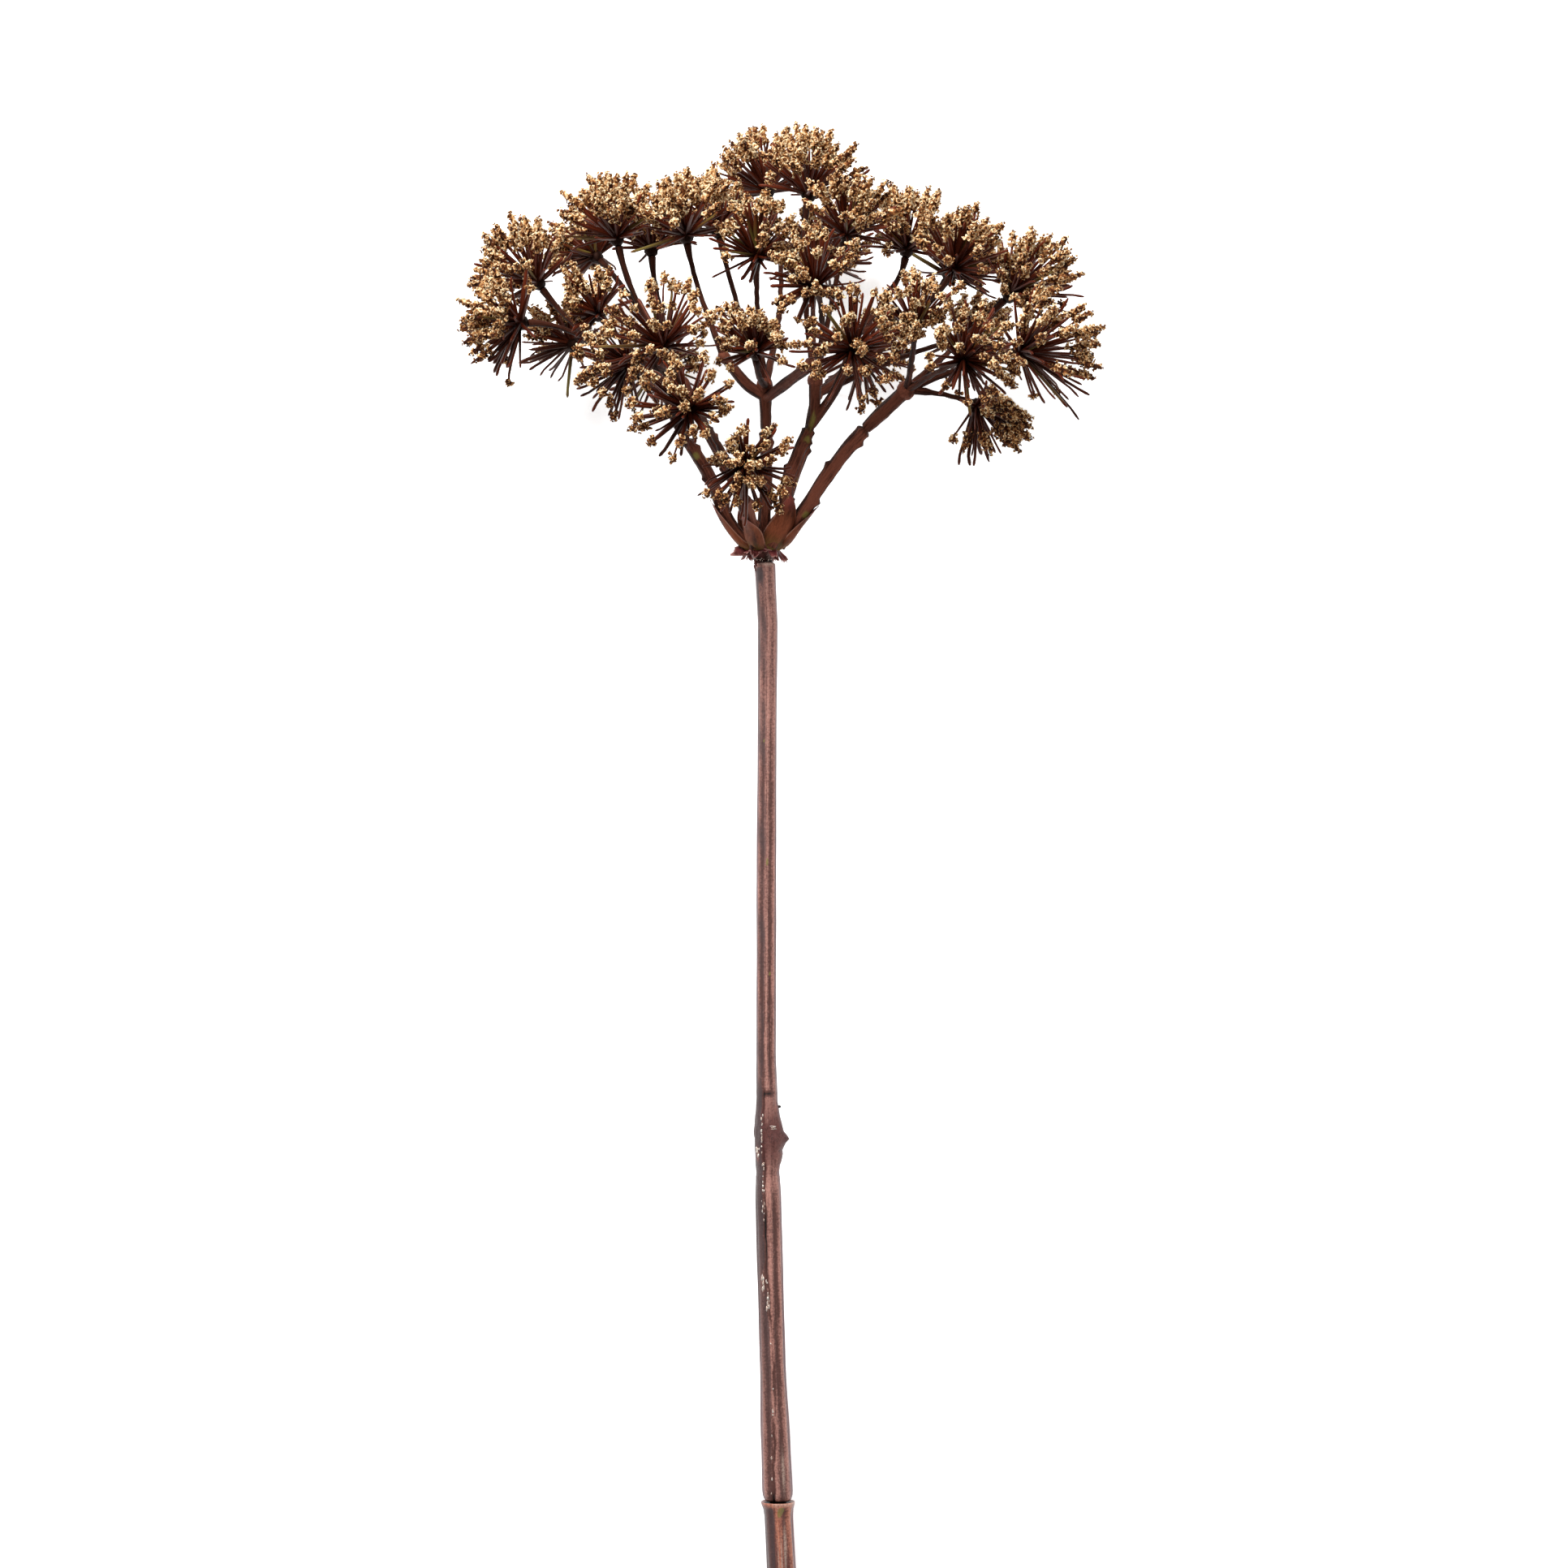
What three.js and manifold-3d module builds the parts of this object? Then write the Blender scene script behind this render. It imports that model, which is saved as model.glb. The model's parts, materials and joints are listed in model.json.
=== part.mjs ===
// A browned Queen Anne's lace on its cut stem, lying on a table as one loose flower.
//
// The flower is built in its own frame: +Y runs up the stem into the head, +X goes across, +Z is the side
// that is turned up when it lies down, and the origin is where the head sits on the stem. The last lines
// lean that frame back, so that the cut end and the lowest umbellets touch the table at Z = 0.
// Every size is in millimetres.

import * as THREE from "three";
import { mergeVertices } from "three/addons/utils/BufferGeometryUtils.js";
import Module from "manifold-3d";

const wasm = await Module();
wasm.setup();

// ---------------------------------------------------------------- driving sizes

const LEAN = THREE.MathUtils.degToRad(8.6); // the climb of the laid stem, from its cut end to the head
const CLEARANCE = 0.3; // between two pieces that sit against each other

const STEM_RIBS = 7;
const CUT_END = -415;
const JOINT = -349; // where the stem is plugged into its foot
const PEG_RADIUS = 3.1;
const PEG_LENGTH = 15;
// How far the middle of the stem is across at each height, from the head down to the cut end.
const STEM_LINE = [[0, 0.6], [-25, 1.8], [-112, 1.3], [-184, 1.2], [-238, 2], [-298, 3.6], [-349, 5.5], [-415, 9]];

const COLLAR_TOP = 6.4;
const BRANCH_FOOT = COLLAR_TOP - 3; // under the collar's top, which trims every branch
const BRANCH_SIDES = 6;
const BRANCH_RINGS = 6;
const SCAR = { radius: 1.5, height: 2.6, sides: 4, shares: [0.3, 0.48, 0.66] };
const RAY_SIDES = 4;
const RAY_RINGS = 3;
const RAY_RADII = [1.7, 1.15, 1.5]; // at the fork, halfway and at the umbellet
const RAY_BEND = 0.4; // how far before the umbellet its ray turns to face the same way

const HUB_RADIUS = 3;
const WIDEST = THREE.MathUtils.degToRad(110); // from an umbellet's axis to the last hub face with a pedicel
const FLOWERING = THREE.MathUtils.degToRad(90); // and to the last one in flower
const CAP_SHARE = 0.82; // of those angles is how far its pedicels lean out
const WANDER = 0.3; // how far a pedicel strays from its even place
const ATTEMPTS = 7; // at finding a pedicel a place that is clear
const PEDICEL_RADIUS = 0.55; // under the florets
const BARE_TIP_RADIUS = 0.95;
const FLORETS = { radius: 2.7, length: 8 }; // one cluster of florets, at a pedicel's tip
const SHORTEST_PEDICEL = 12;

// Branches: each limb has a path from its foot to its fork, its radius at both, and the umbellets that its
// rays bear. An umbellet has the place of its hub, the way that it faces and the reach of its pedicels.
const BRANCHES = {
  right: [
    {
      path: [[5.5, BRANCH_FOOT, 0], [14, 14.7, 3], [24.4, 30, 7], [35.5, 43.5, 13], [52.5, 59.5, 20]],
      radii: [2.6, 2.9],
      bears: [
        { hub: [77.8, 53.2, 26], faces: [0.85, -0.45, 0.3], reach: 26 },
        { hub: [71.6, 66.8, 60], faces: [0.4, 0.1, 0.9], reach: 25 },
        { hub: [93.5, 72.5, 28], faces: [0.95, 0.15, 0.35], reach: 35 },
        { hub: [90.9, 95.3, 12], faces: [0.7, 0.65, 0.25], reach: 31 },
        { hub: [54.5, 78.3, 52], faces: [0, 0.6, 0.8], reach: 24 },
      ],
    },
  ],
  upright: [
    {
      path: [[2.75, BRANCH_FOOT, 4.76], [7.8, 13, 6.5], [8.9, 26, 8], [13, 37, 9], [18.4, 50, 10], [19.3, 64, 9]],
      radii: [2.5, 2.4],
      bears: [
        { hub: [16.8, 133.5, 2], faces: [0.15, 1, 0], reach: 28 },
        { hub: [30.5, 115.8, 26], faces: [0.2, 0.9, 0.35], reach: 27 },
        { hub: [18.5, 94, 52], faces: [-0.25, 0.4, 0.85], reach: 25 },
      ],
    },
    {
      path: [[18, 48, 10], [27, 61, 10], [35, 82, 9]],
      radii: [1.9, 1.7],
      bears: [
        { hub: [53, 112.9, 4], faces: [0.15, 1, 0.1], reach: 27 },
        { hub: [69.6, 103.7, 24], faces: [0.35, 0.75, 0.55], reach: 27 },
      ],
    },
  ],
  centre: [
    {
      path: [[0, BRANCH_FOOT, 0], [1.2, 26, 4], [1.2, 46, 9], [0.8, 62, 12]],
      radii: [2.4, 2.5],
      bears: [
        { hub: [-2.4, 71.2, 44], faces: [-0.05, 0.75, 0.65], reach: 25 },
        { hub: [-16.5, 121.5, -8], faces: [-0.2, 1, 0], reach: 27 },
        { hub: [-1.9, 106.6, 36], faces: [0.05, 0.7, 0.7], reach: 26 },
        { hub: [1.4, 138.8, -28], faces: [-0.3, 0.95, -0.15], reach: 28 },
      ],
    },
    {
      path: [[1, 57, 11], [8.5, 61.5, 24], [17.5, 66.5, 44]],
      radii: [2.1, 2.2],
      bears: [{ hub: [32.2, 69.5, 70], faces: [0.05, 0.1, 1], reach: 26 }],
    },
    {
      path: [[0.8, 58, 11], [-5.5, 62, 12], [-14, 72, 14]],
      radii: [2.3, 1.9],
      bears: [{ hub: [-28, 116, 22], faces: [-0.15, 0.95, 0.3], reach: 27 }],
    },
  ],
  front: [
    {
      path: [[-2.75, BRANCH_FOOT, 4.76], [-4.5, 13, 16], [-8, 24, 40]],
      radii: [2.4, 1.9],
      bears: [
        { hub: [-5.7, 28.2, 74], faces: [0.05, -0.25, 1], reach: 23 },
        { hub: [-25.6, 47.8, 76], faces: [-0.25, 0, 1], reach: 25 },
        { hub: [-35.2, 71.7, 60], faces: [-0.15, 0.5, 0.85], reach: 28 },
      ],
    },
  ],
  left: [
    {
      path: [[-5.5, BRANCH_FOOT, 0], [-12.5, 12.5, 2], [-20, 29.7, 5], [-30.5, 46.5, 10], [-35, 58, 12]],
      radii: [2.6, 2.2],
      bears: [
        { hub: [-48.5, 68.4, 30], faces: [-0.5, -0.35, 0.7], reach: 25 },
        { hub: [-88.9, 84.6, 14], faces: [-0.95, -0.05, 0.3], reach: 26 },
        { hub: [-60.5, 88, 14], faces: [-0.6, 0.6, 0.45], reach: 25 },
        { hub: [-84.1, 102.5, -12], faces: [-0.6, 0.8, 0], reach: 30 },
      ],
    },
  ],
  back_left: [
    {
      path: [[-2.75, BRANCH_FOOT, -4.76], [-9, 24, -11], [-20, 46, -18], [-30, 66, -24]],
      radii: [2.4, 2.1],
      bears: [
        { hub: [-53.8, 117, 5], faces: [-0.2, 1, 0.1], reach: 28 },
        { hub: [-42, 117, -28], faces: [-0.05, 1, -0.15], reach: 27 },
        { hub: [-63.7, 116.3, -44], faces: [-0.6, 0.65, -0.45], reach: 24 },
        { hub: [-40, 76, -58], faces: [-0.2, 0.2, -1], reach: 25 },
        { hub: [-72, 82, -36], faces: [-0.6, 0.55, -0.6], reach: 25 },
      ],
    },
  ],
  back_right: [
    {
      path: [[2.75, BRANCH_FOOT, -4.76], [10, 26, -12], [16, 44, -20], [20, 62, -25]],
      radii: [2.4, 2.1],
      bears: [
        { hub: [38, 80, -60], faces: [0.2, 0.2, -1], reach: 25 },
        { hub: [75, 84, -40], faces: [0.75, 0.2, -0.65], reach: 25 },
        { hub: [70, 107, -22], faces: [0.5, 0.85, -0.15], reach: 27 },
        { hub: [22, 116, -60], faces: [0.2, 0.7, -0.7], reach: 26 },
      ],
    },
  ],
};

// ---------------------------------------------------------------- colours

const finish = (color, roughness) => new THREE.MeshStandardMaterial({ color, roughness, metalness: 0 });
const STEM_BARK = finish(0x855b50, 0.55);
const BRANCH_BARK = finish(0x56302a, 0.5);
const BRACT_RED = finish(0x7d4040, 0.6);
const DRY_FLORETS = finish(0xc39a66, 0.8);

// ---------------------------------------------------------------- solids

const point = ([x, y, z]) => new THREE.Vector3(x, y, z);

// A closed geometry as a manifold solid.
function solidOf(geometry) {
  const bare = geometry.clone();
  bare.deleteAttribute("normal");
  bare.deleteAttribute("uv");
  const merged = mergeVertices(bare, 1e-4);
  return new wasm.Manifold(
    new wasm.Mesh({
      numProp: 3,
      vertProperties: merged.attributes.position.array,
      triVerts: new Uint32Array(merged.index.array),
    }),
  );
}

// Several closed geometries joined into one.
function joined(geometries) {
  return geometryOf(geometries.map(solidOf).reduce((whole, piece) => whole.add(piece)));
}

function geometryOf(solid) {
  const mesh = solid.getMesh();
  const geometry = new THREE.BufferGeometry();
  geometry.setAttribute("position", new THREE.BufferAttribute(mesh.vertProperties, 3));
  geometry.setIndex(new THREE.BufferAttribute(mesh.triVerts, 1));
  return geometry;
}

// A tapering tube along a curve. Its radii are spread evenly from one end to the other.
function limb(curve, radii, sides, rings) {
  const radiusAt = (share) => {
    const place = Math.min(share * (radii.length - 1), radii.length - 1.001);
    const before = Math.floor(place);
    return THREE.MathUtils.lerp(radii[before], radii[before + 1], place - before);
  };
  const profile = [new THREE.Vector2(0, 0)];
  for (let ring = 0; ring <= rings; ring++) profile.push(new THREE.Vector2(radiusAt(ring / rings), ring));
  profile.push(new THREE.Vector2(0, rings));
  const tube = new THREE.LatheGeometry(profile, sides);
  const frames = curve.computeFrenetFrames(rings);
  const places = tube.attributes.position;
  for (let i = 0; i < places.count; i++) {
    const ring = Math.round(places.getY(i));
    const moved = curve
      .getPointAt(ring / rings)
      .addScaledVector(frames.normals[ring], places.getZ(i))
      .addScaledVector(frames.binormals[ring], places.getX(i));
    places.setXYZ(i, moved.x, moved.y, moved.z);
  }
  return tube;
}

// A geometry made along +Y, turned to point along a direction and moved to a place.
function pointing(geometry, direction, place) {
  const turn = new THREE.Quaternion().setFromUnitVectors(new THREE.Vector3(0, 1, 0), direction);
  return geometry.applyQuaternion(turn).translate(place.x, place.y, place.z);
}

// ---------------------------------------------------------------- stem and foot

function stemMiddle(y) {
  const below = Math.max(1, STEM_LINE.findIndex(([height]) => height <= y));
  const [[topHeight, topAcross], [height, across]] = STEM_LINE.slice(below - 1, below + 1);
  return THREE.MathUtils.mapLinear(y, topHeight, height, topAcross, across);
}

// A ribbed rod. Each row is its height, its radius and how deep the grooves between its ribs are there.
function ribbedRod(rows) {
  const profile = rows.map(([y, radius]) => new THREE.Vector2(radius, y));
  const rod = new THREE.LatheGeometry(profile, 2 * STEM_RIBS);
  const places = rod.attributes.position;
  for (let i = 0; i < places.count; i++) {
    const side = Math.floor(i / rows.length);
    const groove = side % 2 ? 1 - rows[i % rows.length][2] : 1;
    places.setX(i, places.getX(i) * groove + stemMiddle(places.getY(i)));
    places.setZ(i, places.getZ(i) * groove);
  }
  return rod;
}

function stemGeometry() {
  const pegEnd = JOINT - PEG_LENGTH;
  const rod = ribbedRod([
    [pegEnd, 0, 0],
    [pegEnd, PEG_RADIUS, 0],
    [JOINT + 0.6, PEG_RADIUS, 0],
    [JOINT + 0.8, 4.7, 0.02],
    [JOINT + 3.5, 5.85, 0.06],
    [-328, 5.6, 0.12],
    [-298, 4.95, 0.14],
    [-238, 5, 0.12],
    [-228, 4.5, 0.08],
    [-214, 5, 0.06],
    [-200, 4.1, 0.1],
    [-184, 3.75, 0.14],
    [-112, 3.8, 0.14],
    [-67, 3.6, 0.14],
    [-12, 3.8, 0.12],
    [-3, 3.95, 0.06],
    [-2.2, 2.9, 0],
    [-CLEARANCE, 2.8, 0],
    [-CLEARANCE, 0, 0],
  ]);
  const budRows = [[0, -14], [2.6, -10], [4.1, 0], [2.2, 9], [0, 17]];
  const bud = new THREE.LatheGeometry(budRows.map(([r, y]) => new THREE.Vector2(r, y)), 6);
  bud.translate(4.2, -214, 0.8);
  const leafScar = new THREE.ConeGeometry(1.5, 4.4, 5).rotateZ(-Math.PI / 2).translate(7.4, -213, 1.2);
  return joined([rod, bud, leafScar]);
}

function footGeometry() {
  const socketRadius = PEG_RADIUS + CLEARANCE;
  const socketEnd = JOINT - PEG_LENGTH - CLEARANCE;
  return ribbedRod([
    [CUT_END, 0, 0],
    [CUT_END, 5.6, 0.1],
    [-374, 5.6, 0.12],
    [JOINT - 6, 5.5, 0.12],
    [JOINT - 2.6, 6.3, 0.04],
    [JOINT - 0.4, 5.9, 0.02],
    [JOINT - 0.4, socketRadius, 0],
    [socketEnd, socketRadius, 0],
    [socketEnd, 0, 0],
  ]);
}

// ---------------------------------------------------------------- collar

function collarGeometry() {
  const rows = [[0, 0], [2.8, 0], [3.7, 1.8], [6.6, 4.4], [7.4, 5.6], [7.2, COLLAR_TOP], [0, COLLAR_TOP]];
  const cup = new THREE.LatheGeometry(rows.map(([r, y]) => new THREE.Vector2(r, y)), 12);
  // Torn bracts round the rim: where each points, how long it is and how far it droops.
  const bracts = [
    { turn: 178, length: 7.5, droop: 12 },
    { turn: 232, length: 4.5, droop: 40 },
    { turn: 292, length: 5.5, droop: 25 },
    { turn: 348, length: 6, droop: 62 },
    { turn: 52, length: 4.5, droop: 30 },
    { turn: 115, length: 5, droop: 45 },
  ];
  const blades = bracts.map(({ turn, length, droop }) => {
    const around = THREE.MathUtils.degToRad(turn);
    const down = THREE.MathUtils.degToRad(droop);
    const blade = new THREE.ConeGeometry(2.6, length + 2, 4).scale(0.3, 1, 1);
    blade.translate(0, length / 2, 0).rotateZ(-Math.PI / 2 - down).translate(5.8, 4.6, 0);
    return blade.rotateY(-around);
  });
  return joined([cup, ...blades]);
}

// ---------------------------------------------------------------- branches and rays

// A branch's limbs, its rays and the fork between them, with leaf scars along the first limb.
function rayCurve(fork, { hub, faces }) {
  const end = point(hub);
  const facing = point(faces).normalize();
  const turn = end.clone().addScaledVector(facing, -RAY_BEND * end.distanceTo(fork));
  end.addScaledVector(facing, -HUB_RADIUS - CLEARANCE);
  return new THREE.QuadraticBezierCurve3(fork, turn, end);
}

const limbCurve = (path) => new THREE.CatmullRomCurve3(path.map(point));

function scarsOf(curve, radius) {
  return SCAR.shares.map((share, i) => {
    const along = curve.getTangentAt(share);
    const side = i % 2 ? -1 : 1;
    const out = new THREE.Vector3(along.y * side, -along.x * side, 0.3).normalize();
    const place = curve.getPointAt(share).addScaledVector(out, radius);
    return pointing(new THREE.ConeGeometry(SCAR.radius, SCAR.height, SCAR.sides), out, place);
  });
}

function branchGeometry(limbs) {
  const pieces = [];
  limbs.forEach(({ path, radii, bears }, i) => {
    const curve = limbCurve(path);
    const fork = point(path.at(-1));
    pieces.push(limb(curve, radii, BRANCH_SIDES, i ? 3 : BRANCH_RINGS));
    pieces.push(new THREE.OctahedronGeometry(radii[1] * 1.5).translate(fork.x, fork.y, fork.z));
    if (!i) pieces.push(...scarsOf(curve, radii[0]));
    for (const umbellet of bears) {
      pieces.push(limb(rayCurve(fork, umbellet), RAY_RADII, RAY_SIDES, RAY_RINGS));
    }
  });
  const below = new THREE.BoxGeometry(40, 40, 40).translate(0, COLLAR_TOP + CLEARANCE - 20, 0);
  return geometryOf(solidOf(joined(pieces)).subtract(solidOf(below)));
}

// ---------------------------------------------------------------- umbellets

const collarHeight = -CUT_END * Math.sin(LEAN) + 5.5 * Math.cos(LEAN); // of the flower's origin over the table
const heightOf = ({ y, z }) => collarHeight + y * Math.sin(LEAN) + z * Math.cos(LEAN);

const umbellets = Object.entries(BRANCHES).flatMap(([branch, limbs]) =>
  limbs
    .flatMap(({ path, bears }) => bears.map((umbellet) => ({ ...umbellet, fork: point(path.at(-1)) })))
    .map(({ hub, faces, reach, fork }, i) => ({
      name: `umbellet_${branch}_${i + 1}`,
      hub: point(hub),
      facing: point(faces).normalize(),
      ray: rayCurve(fork, { hub, faces }),
      reach,
    })),
);

// Every stretch of stem, branch and ray that a pedicel has to stay clear of.
const wood = [];
function addWood(curve, radius, pieces) {
  const places = curve.getSpacedPoints(pieces);
  for (let i = 0; i < pieces; i++) wood.push({ line: new THREE.Line3(places[i], places[i + 1]), radius, curve });
}
for (const limbs of Object.values(BRANCHES)) {
  for (const { path, radii } of limbs) addWood(limbCurve(path), Math.max(...radii), BRANCH_RINGS);
}
for (const { ray } of umbellets) addWood(ray, RAY_RADII[0], RAY_RINGS);

function meetsWood(umbellet, direction, length) {
  const nearest = new THREE.Vector3();
  for (let along = HUB_RADIUS + 1; along <= length; along += 1) {
    const place = umbellet.hub.clone().addScaledVector(direction, along);
    const own = along > length - FLORETS.length ? FLORETS.radius : PEDICEL_RADIUS;
    for (const { line, radius, curve } of wood) {
      if (curve === umbellet.ray) continue;
      line.closestPointToPoint(place, true, nearest);
      if (nearest.distanceTo(place) < radius + own + CLEARANCE) return true;
    }
  }
  return false;
}

// A number from 0 to 1 that looks drawn by chance but is the same each time.
function chance(seed) {
  const value = Math.sin(seed * 12.9898) * 43758.5453;
  return value - Math.floor(value);
}

// Umbellets share the room between them: a pedicel ends before the middle between its hub and the next
// one, and it doesn't reach under the table.
function pedicelRoom(umbellet, direction, wanted) {
  let length = wanted;
  for (const other of umbellets) {
    const apart = other.hub.clone().sub(umbellet.hub);
    const towards = direction.dot(apart) / apart.length();
    const room = apart.length() / 2 - FLORETS.radius - CLEARANCE;
    if (other !== umbellet && towards > 0) length = Math.min(length, room / towards);
  }
  const drop = -(direction.y * Math.sin(LEAN) + direction.z * Math.cos(LEAN));
  if (drop > 0) length = Math.min(length, (heightOf(umbellet.hub) - FLORETS.radius / 2) / drop);
  return length;
}

// The faces of one pedicel, grown from a three-cornered face of its hub. A ring is its distance from the
// hub, its radius and how many sixths of a turn it is turned by.
function pedicelFaces(root, direction, rings, length) {
  const middle = new THREE.Vector3().add(root[0]).add(root[1]).add(root[2]).divideScalar(3);
  const spokes = root.map((corner) => corner.clone().sub(middle).normalize());
  const faces = [];
  let last = root;
  for (const [along, radius, sixths] of rings) {
    const ring = spokes.map((spoke) => {
      const out = spoke.clone().applyAxisAngle(direction, (sixths * Math.PI) / 3);
      return out.multiplyScalar(radius).addScaledVector(direction, along);
    });
    for (let i = 0; i < 3; i++) {
      const next = (i + 1) % 3;
      faces.push(last[i], last[next], ring[i], ring[i], last[next], ring[next]);
    }
    last = ring;
  }
  const tip = direction.clone().multiplyScalar(length);
  for (let i = 0; i < 3; i++) faces.push(last[i], last[(i + 1) % 3], tip);
  return faces;
}

// A pedicel in flower swells into its florets. An outer one has lost them, down to a small swollen tip.
function pedicelRings(length, inFlower) {
  if (!inFlower) return [[length - 1.6, BARE_TIP_RADIUS, 0]];
  return [
    [length - FLORETS.length, PEDICEL_RADIUS, 0],
    [length - 0.62 * FLORETS.length, 0.85 * FLORETS.radius, 1],
    [length - 0.2 * FLORETS.length, FLORETS.radius, 2],
  ];
}

// Where a pedicel can go: near the even place across its hub's face, clear of the wood and long enough.
function pedicelPlace(umbellet, across, seed) {
  const { facing } = umbellet;
  const away = across.angleTo(facing);
  const sideways = facing.clone().cross(across).normalize();
  const drawnIn = facing.clone().applyAxisAngle(sideways, CAP_SHARE * away);
  const length = umbellet.reach * (0.86 + 0.14 * chance(seed));
  for (let attempt = 0; attempt < ATTEMPTS; attempt++) {
    const drift = new THREE.Vector3(...[1, 2, 3].map((i) => chance(seed + 7 * i + 31 * attempt) - 0.5));
    const direction = drawnIn.clone().addScaledVector(drift, WANDER * (1 + attempt / 3)).normalize();
    const room = pedicelRoom(umbellet, direction, length);
    if (room > SHORTEST_PEDICEL && !meetsWood(umbellet, direction, room)) return { direction, length: room };
  }
  return null;
}

function umbelletGeometry(umbellet, number) {
  const hub = new THREE.OctahedronGeometry(HUB_RADIUS, 1).rotateY(number);
  pointing(hub, umbellet.facing, new THREE.Vector3());
  const corners = hub.attributes.position;
  const faces = [];
  for (let face = 0; face < corners.count / 3; face++) {
    const root = [0, 1, 2].map((i) => new THREE.Vector3().fromBufferAttribute(corners, 3 * face + i));
    const across = new THREE.Vector3().add(root[0]).add(root[1]).add(root[2]).normalize();
    const away = across.angleTo(umbellet.facing);
    const place = away < WIDEST ? pedicelPlace(umbellet, across, 100 * number + face) : null;
    const rings = place && pedicelRings(place.length, away < FLOWERING);
    faces.push(...(place ? pedicelFaces(root, place.direction, rings, place.length) : root));
  }
  const { x, y, z } = umbellet.hub;
  return new THREE.BufferGeometry().setFromPoints(faces).translate(x, y, z);
}

// ---------------------------------------------------------------- the flower

const flower = new THREE.Group();

function add(name, geometry, material) {
  const mesh = new THREE.Mesh(geometry, material);
  mesh.name = name;
  flower.add(mesh);
}

add("stem", stemGeometry(), STEM_BARK);
add("stem_foot", footGeometry(), STEM_BARK);
add("collar", collarGeometry(), BRACT_RED);
for (const [name, limbs] of Object.entries(BRANCHES)) {
  add(`branch_${name}`, branchGeometry(limbs), BRANCH_BARK);
}
umbellets.forEach((umbellet, i) => add(umbellet.name, umbelletGeometry(umbellet, i), DRY_FLORETS));

// Lean the flower back onto the table, and centre it over the origin with its lowest point at Z = 0.
flower.rotation.x = LEAN;
const laid = new THREE.Group().add(flower);
const box = new THREE.Box3().setFromObject(laid, true);
const middle = box.getCenter(new THREE.Vector3());
flower.position.set(-middle.x, -middle.y, -box.min.z);

export default laid;
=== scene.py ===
import json
import math

import bpy
import numpy as np
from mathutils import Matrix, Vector

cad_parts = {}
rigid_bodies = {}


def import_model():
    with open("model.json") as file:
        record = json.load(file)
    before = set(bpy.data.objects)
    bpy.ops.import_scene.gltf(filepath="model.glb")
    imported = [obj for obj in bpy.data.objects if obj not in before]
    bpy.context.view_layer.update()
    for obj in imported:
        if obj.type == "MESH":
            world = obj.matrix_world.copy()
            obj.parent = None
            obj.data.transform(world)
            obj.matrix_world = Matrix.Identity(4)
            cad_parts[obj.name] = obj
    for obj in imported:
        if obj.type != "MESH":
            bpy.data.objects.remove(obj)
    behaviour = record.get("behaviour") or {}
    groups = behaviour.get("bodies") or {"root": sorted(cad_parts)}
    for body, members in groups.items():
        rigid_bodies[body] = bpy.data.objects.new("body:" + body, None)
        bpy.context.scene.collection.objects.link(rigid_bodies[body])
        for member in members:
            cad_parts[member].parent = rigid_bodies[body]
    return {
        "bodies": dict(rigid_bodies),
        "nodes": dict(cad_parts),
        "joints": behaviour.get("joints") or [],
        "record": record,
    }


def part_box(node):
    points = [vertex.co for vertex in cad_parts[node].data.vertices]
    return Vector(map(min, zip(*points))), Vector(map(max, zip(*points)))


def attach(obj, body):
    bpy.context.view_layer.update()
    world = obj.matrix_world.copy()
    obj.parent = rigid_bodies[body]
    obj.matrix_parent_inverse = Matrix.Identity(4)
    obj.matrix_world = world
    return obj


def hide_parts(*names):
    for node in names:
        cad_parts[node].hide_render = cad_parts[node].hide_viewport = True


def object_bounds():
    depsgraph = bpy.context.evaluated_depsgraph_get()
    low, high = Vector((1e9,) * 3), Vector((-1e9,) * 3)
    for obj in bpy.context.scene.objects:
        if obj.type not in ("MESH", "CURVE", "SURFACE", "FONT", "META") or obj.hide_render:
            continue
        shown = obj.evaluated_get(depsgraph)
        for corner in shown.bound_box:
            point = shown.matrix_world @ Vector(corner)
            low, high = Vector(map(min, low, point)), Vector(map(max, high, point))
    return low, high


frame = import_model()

bl_info = {
    "name": "Dried Queen Anne's Lace",
    "version": (1, 0, 0),
    "blender": (4, 5, 0),
    "location": "View3D > Sidebar > Lace",
    "description": "Dresses a laid, browned Queen Anne's lace in its ribbed stem, branches and crumbly florets",
    "category": "Object",
}

# The flower's own frame is in millimetres: the second axis runs up the stem into the head, the third is the
# side that is turned up when it lies down, and the origin is where the head sits on the stem. Angles round the
# stem are in degrees from the side that is turned up.

CAD_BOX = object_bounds()
MM = 0.001
UP = np.array((0, 1, 0))
LEAN = math.radians(8.6)
CLEARANCE = 0.3

# ---------------------------------------------------------------- the plan of the flower

STEM_RIBS = 7
CUT_END = -415
JOINT = -349
PEG_RADIUS = 3.1
PEG_END = JOINT - 15
SOCKET_RADIUS = PEG_RADIUS + CLEARANCE
SOCKET_FLOOR = JOINT - 15.3
STEM_LINE = ((-415, 9), (-349, 5.5), (-298, 3.6), (-238, 2), (-184, 1.2), (-112, 1.3), (-25, 1.8), (0, 0.6))

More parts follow.
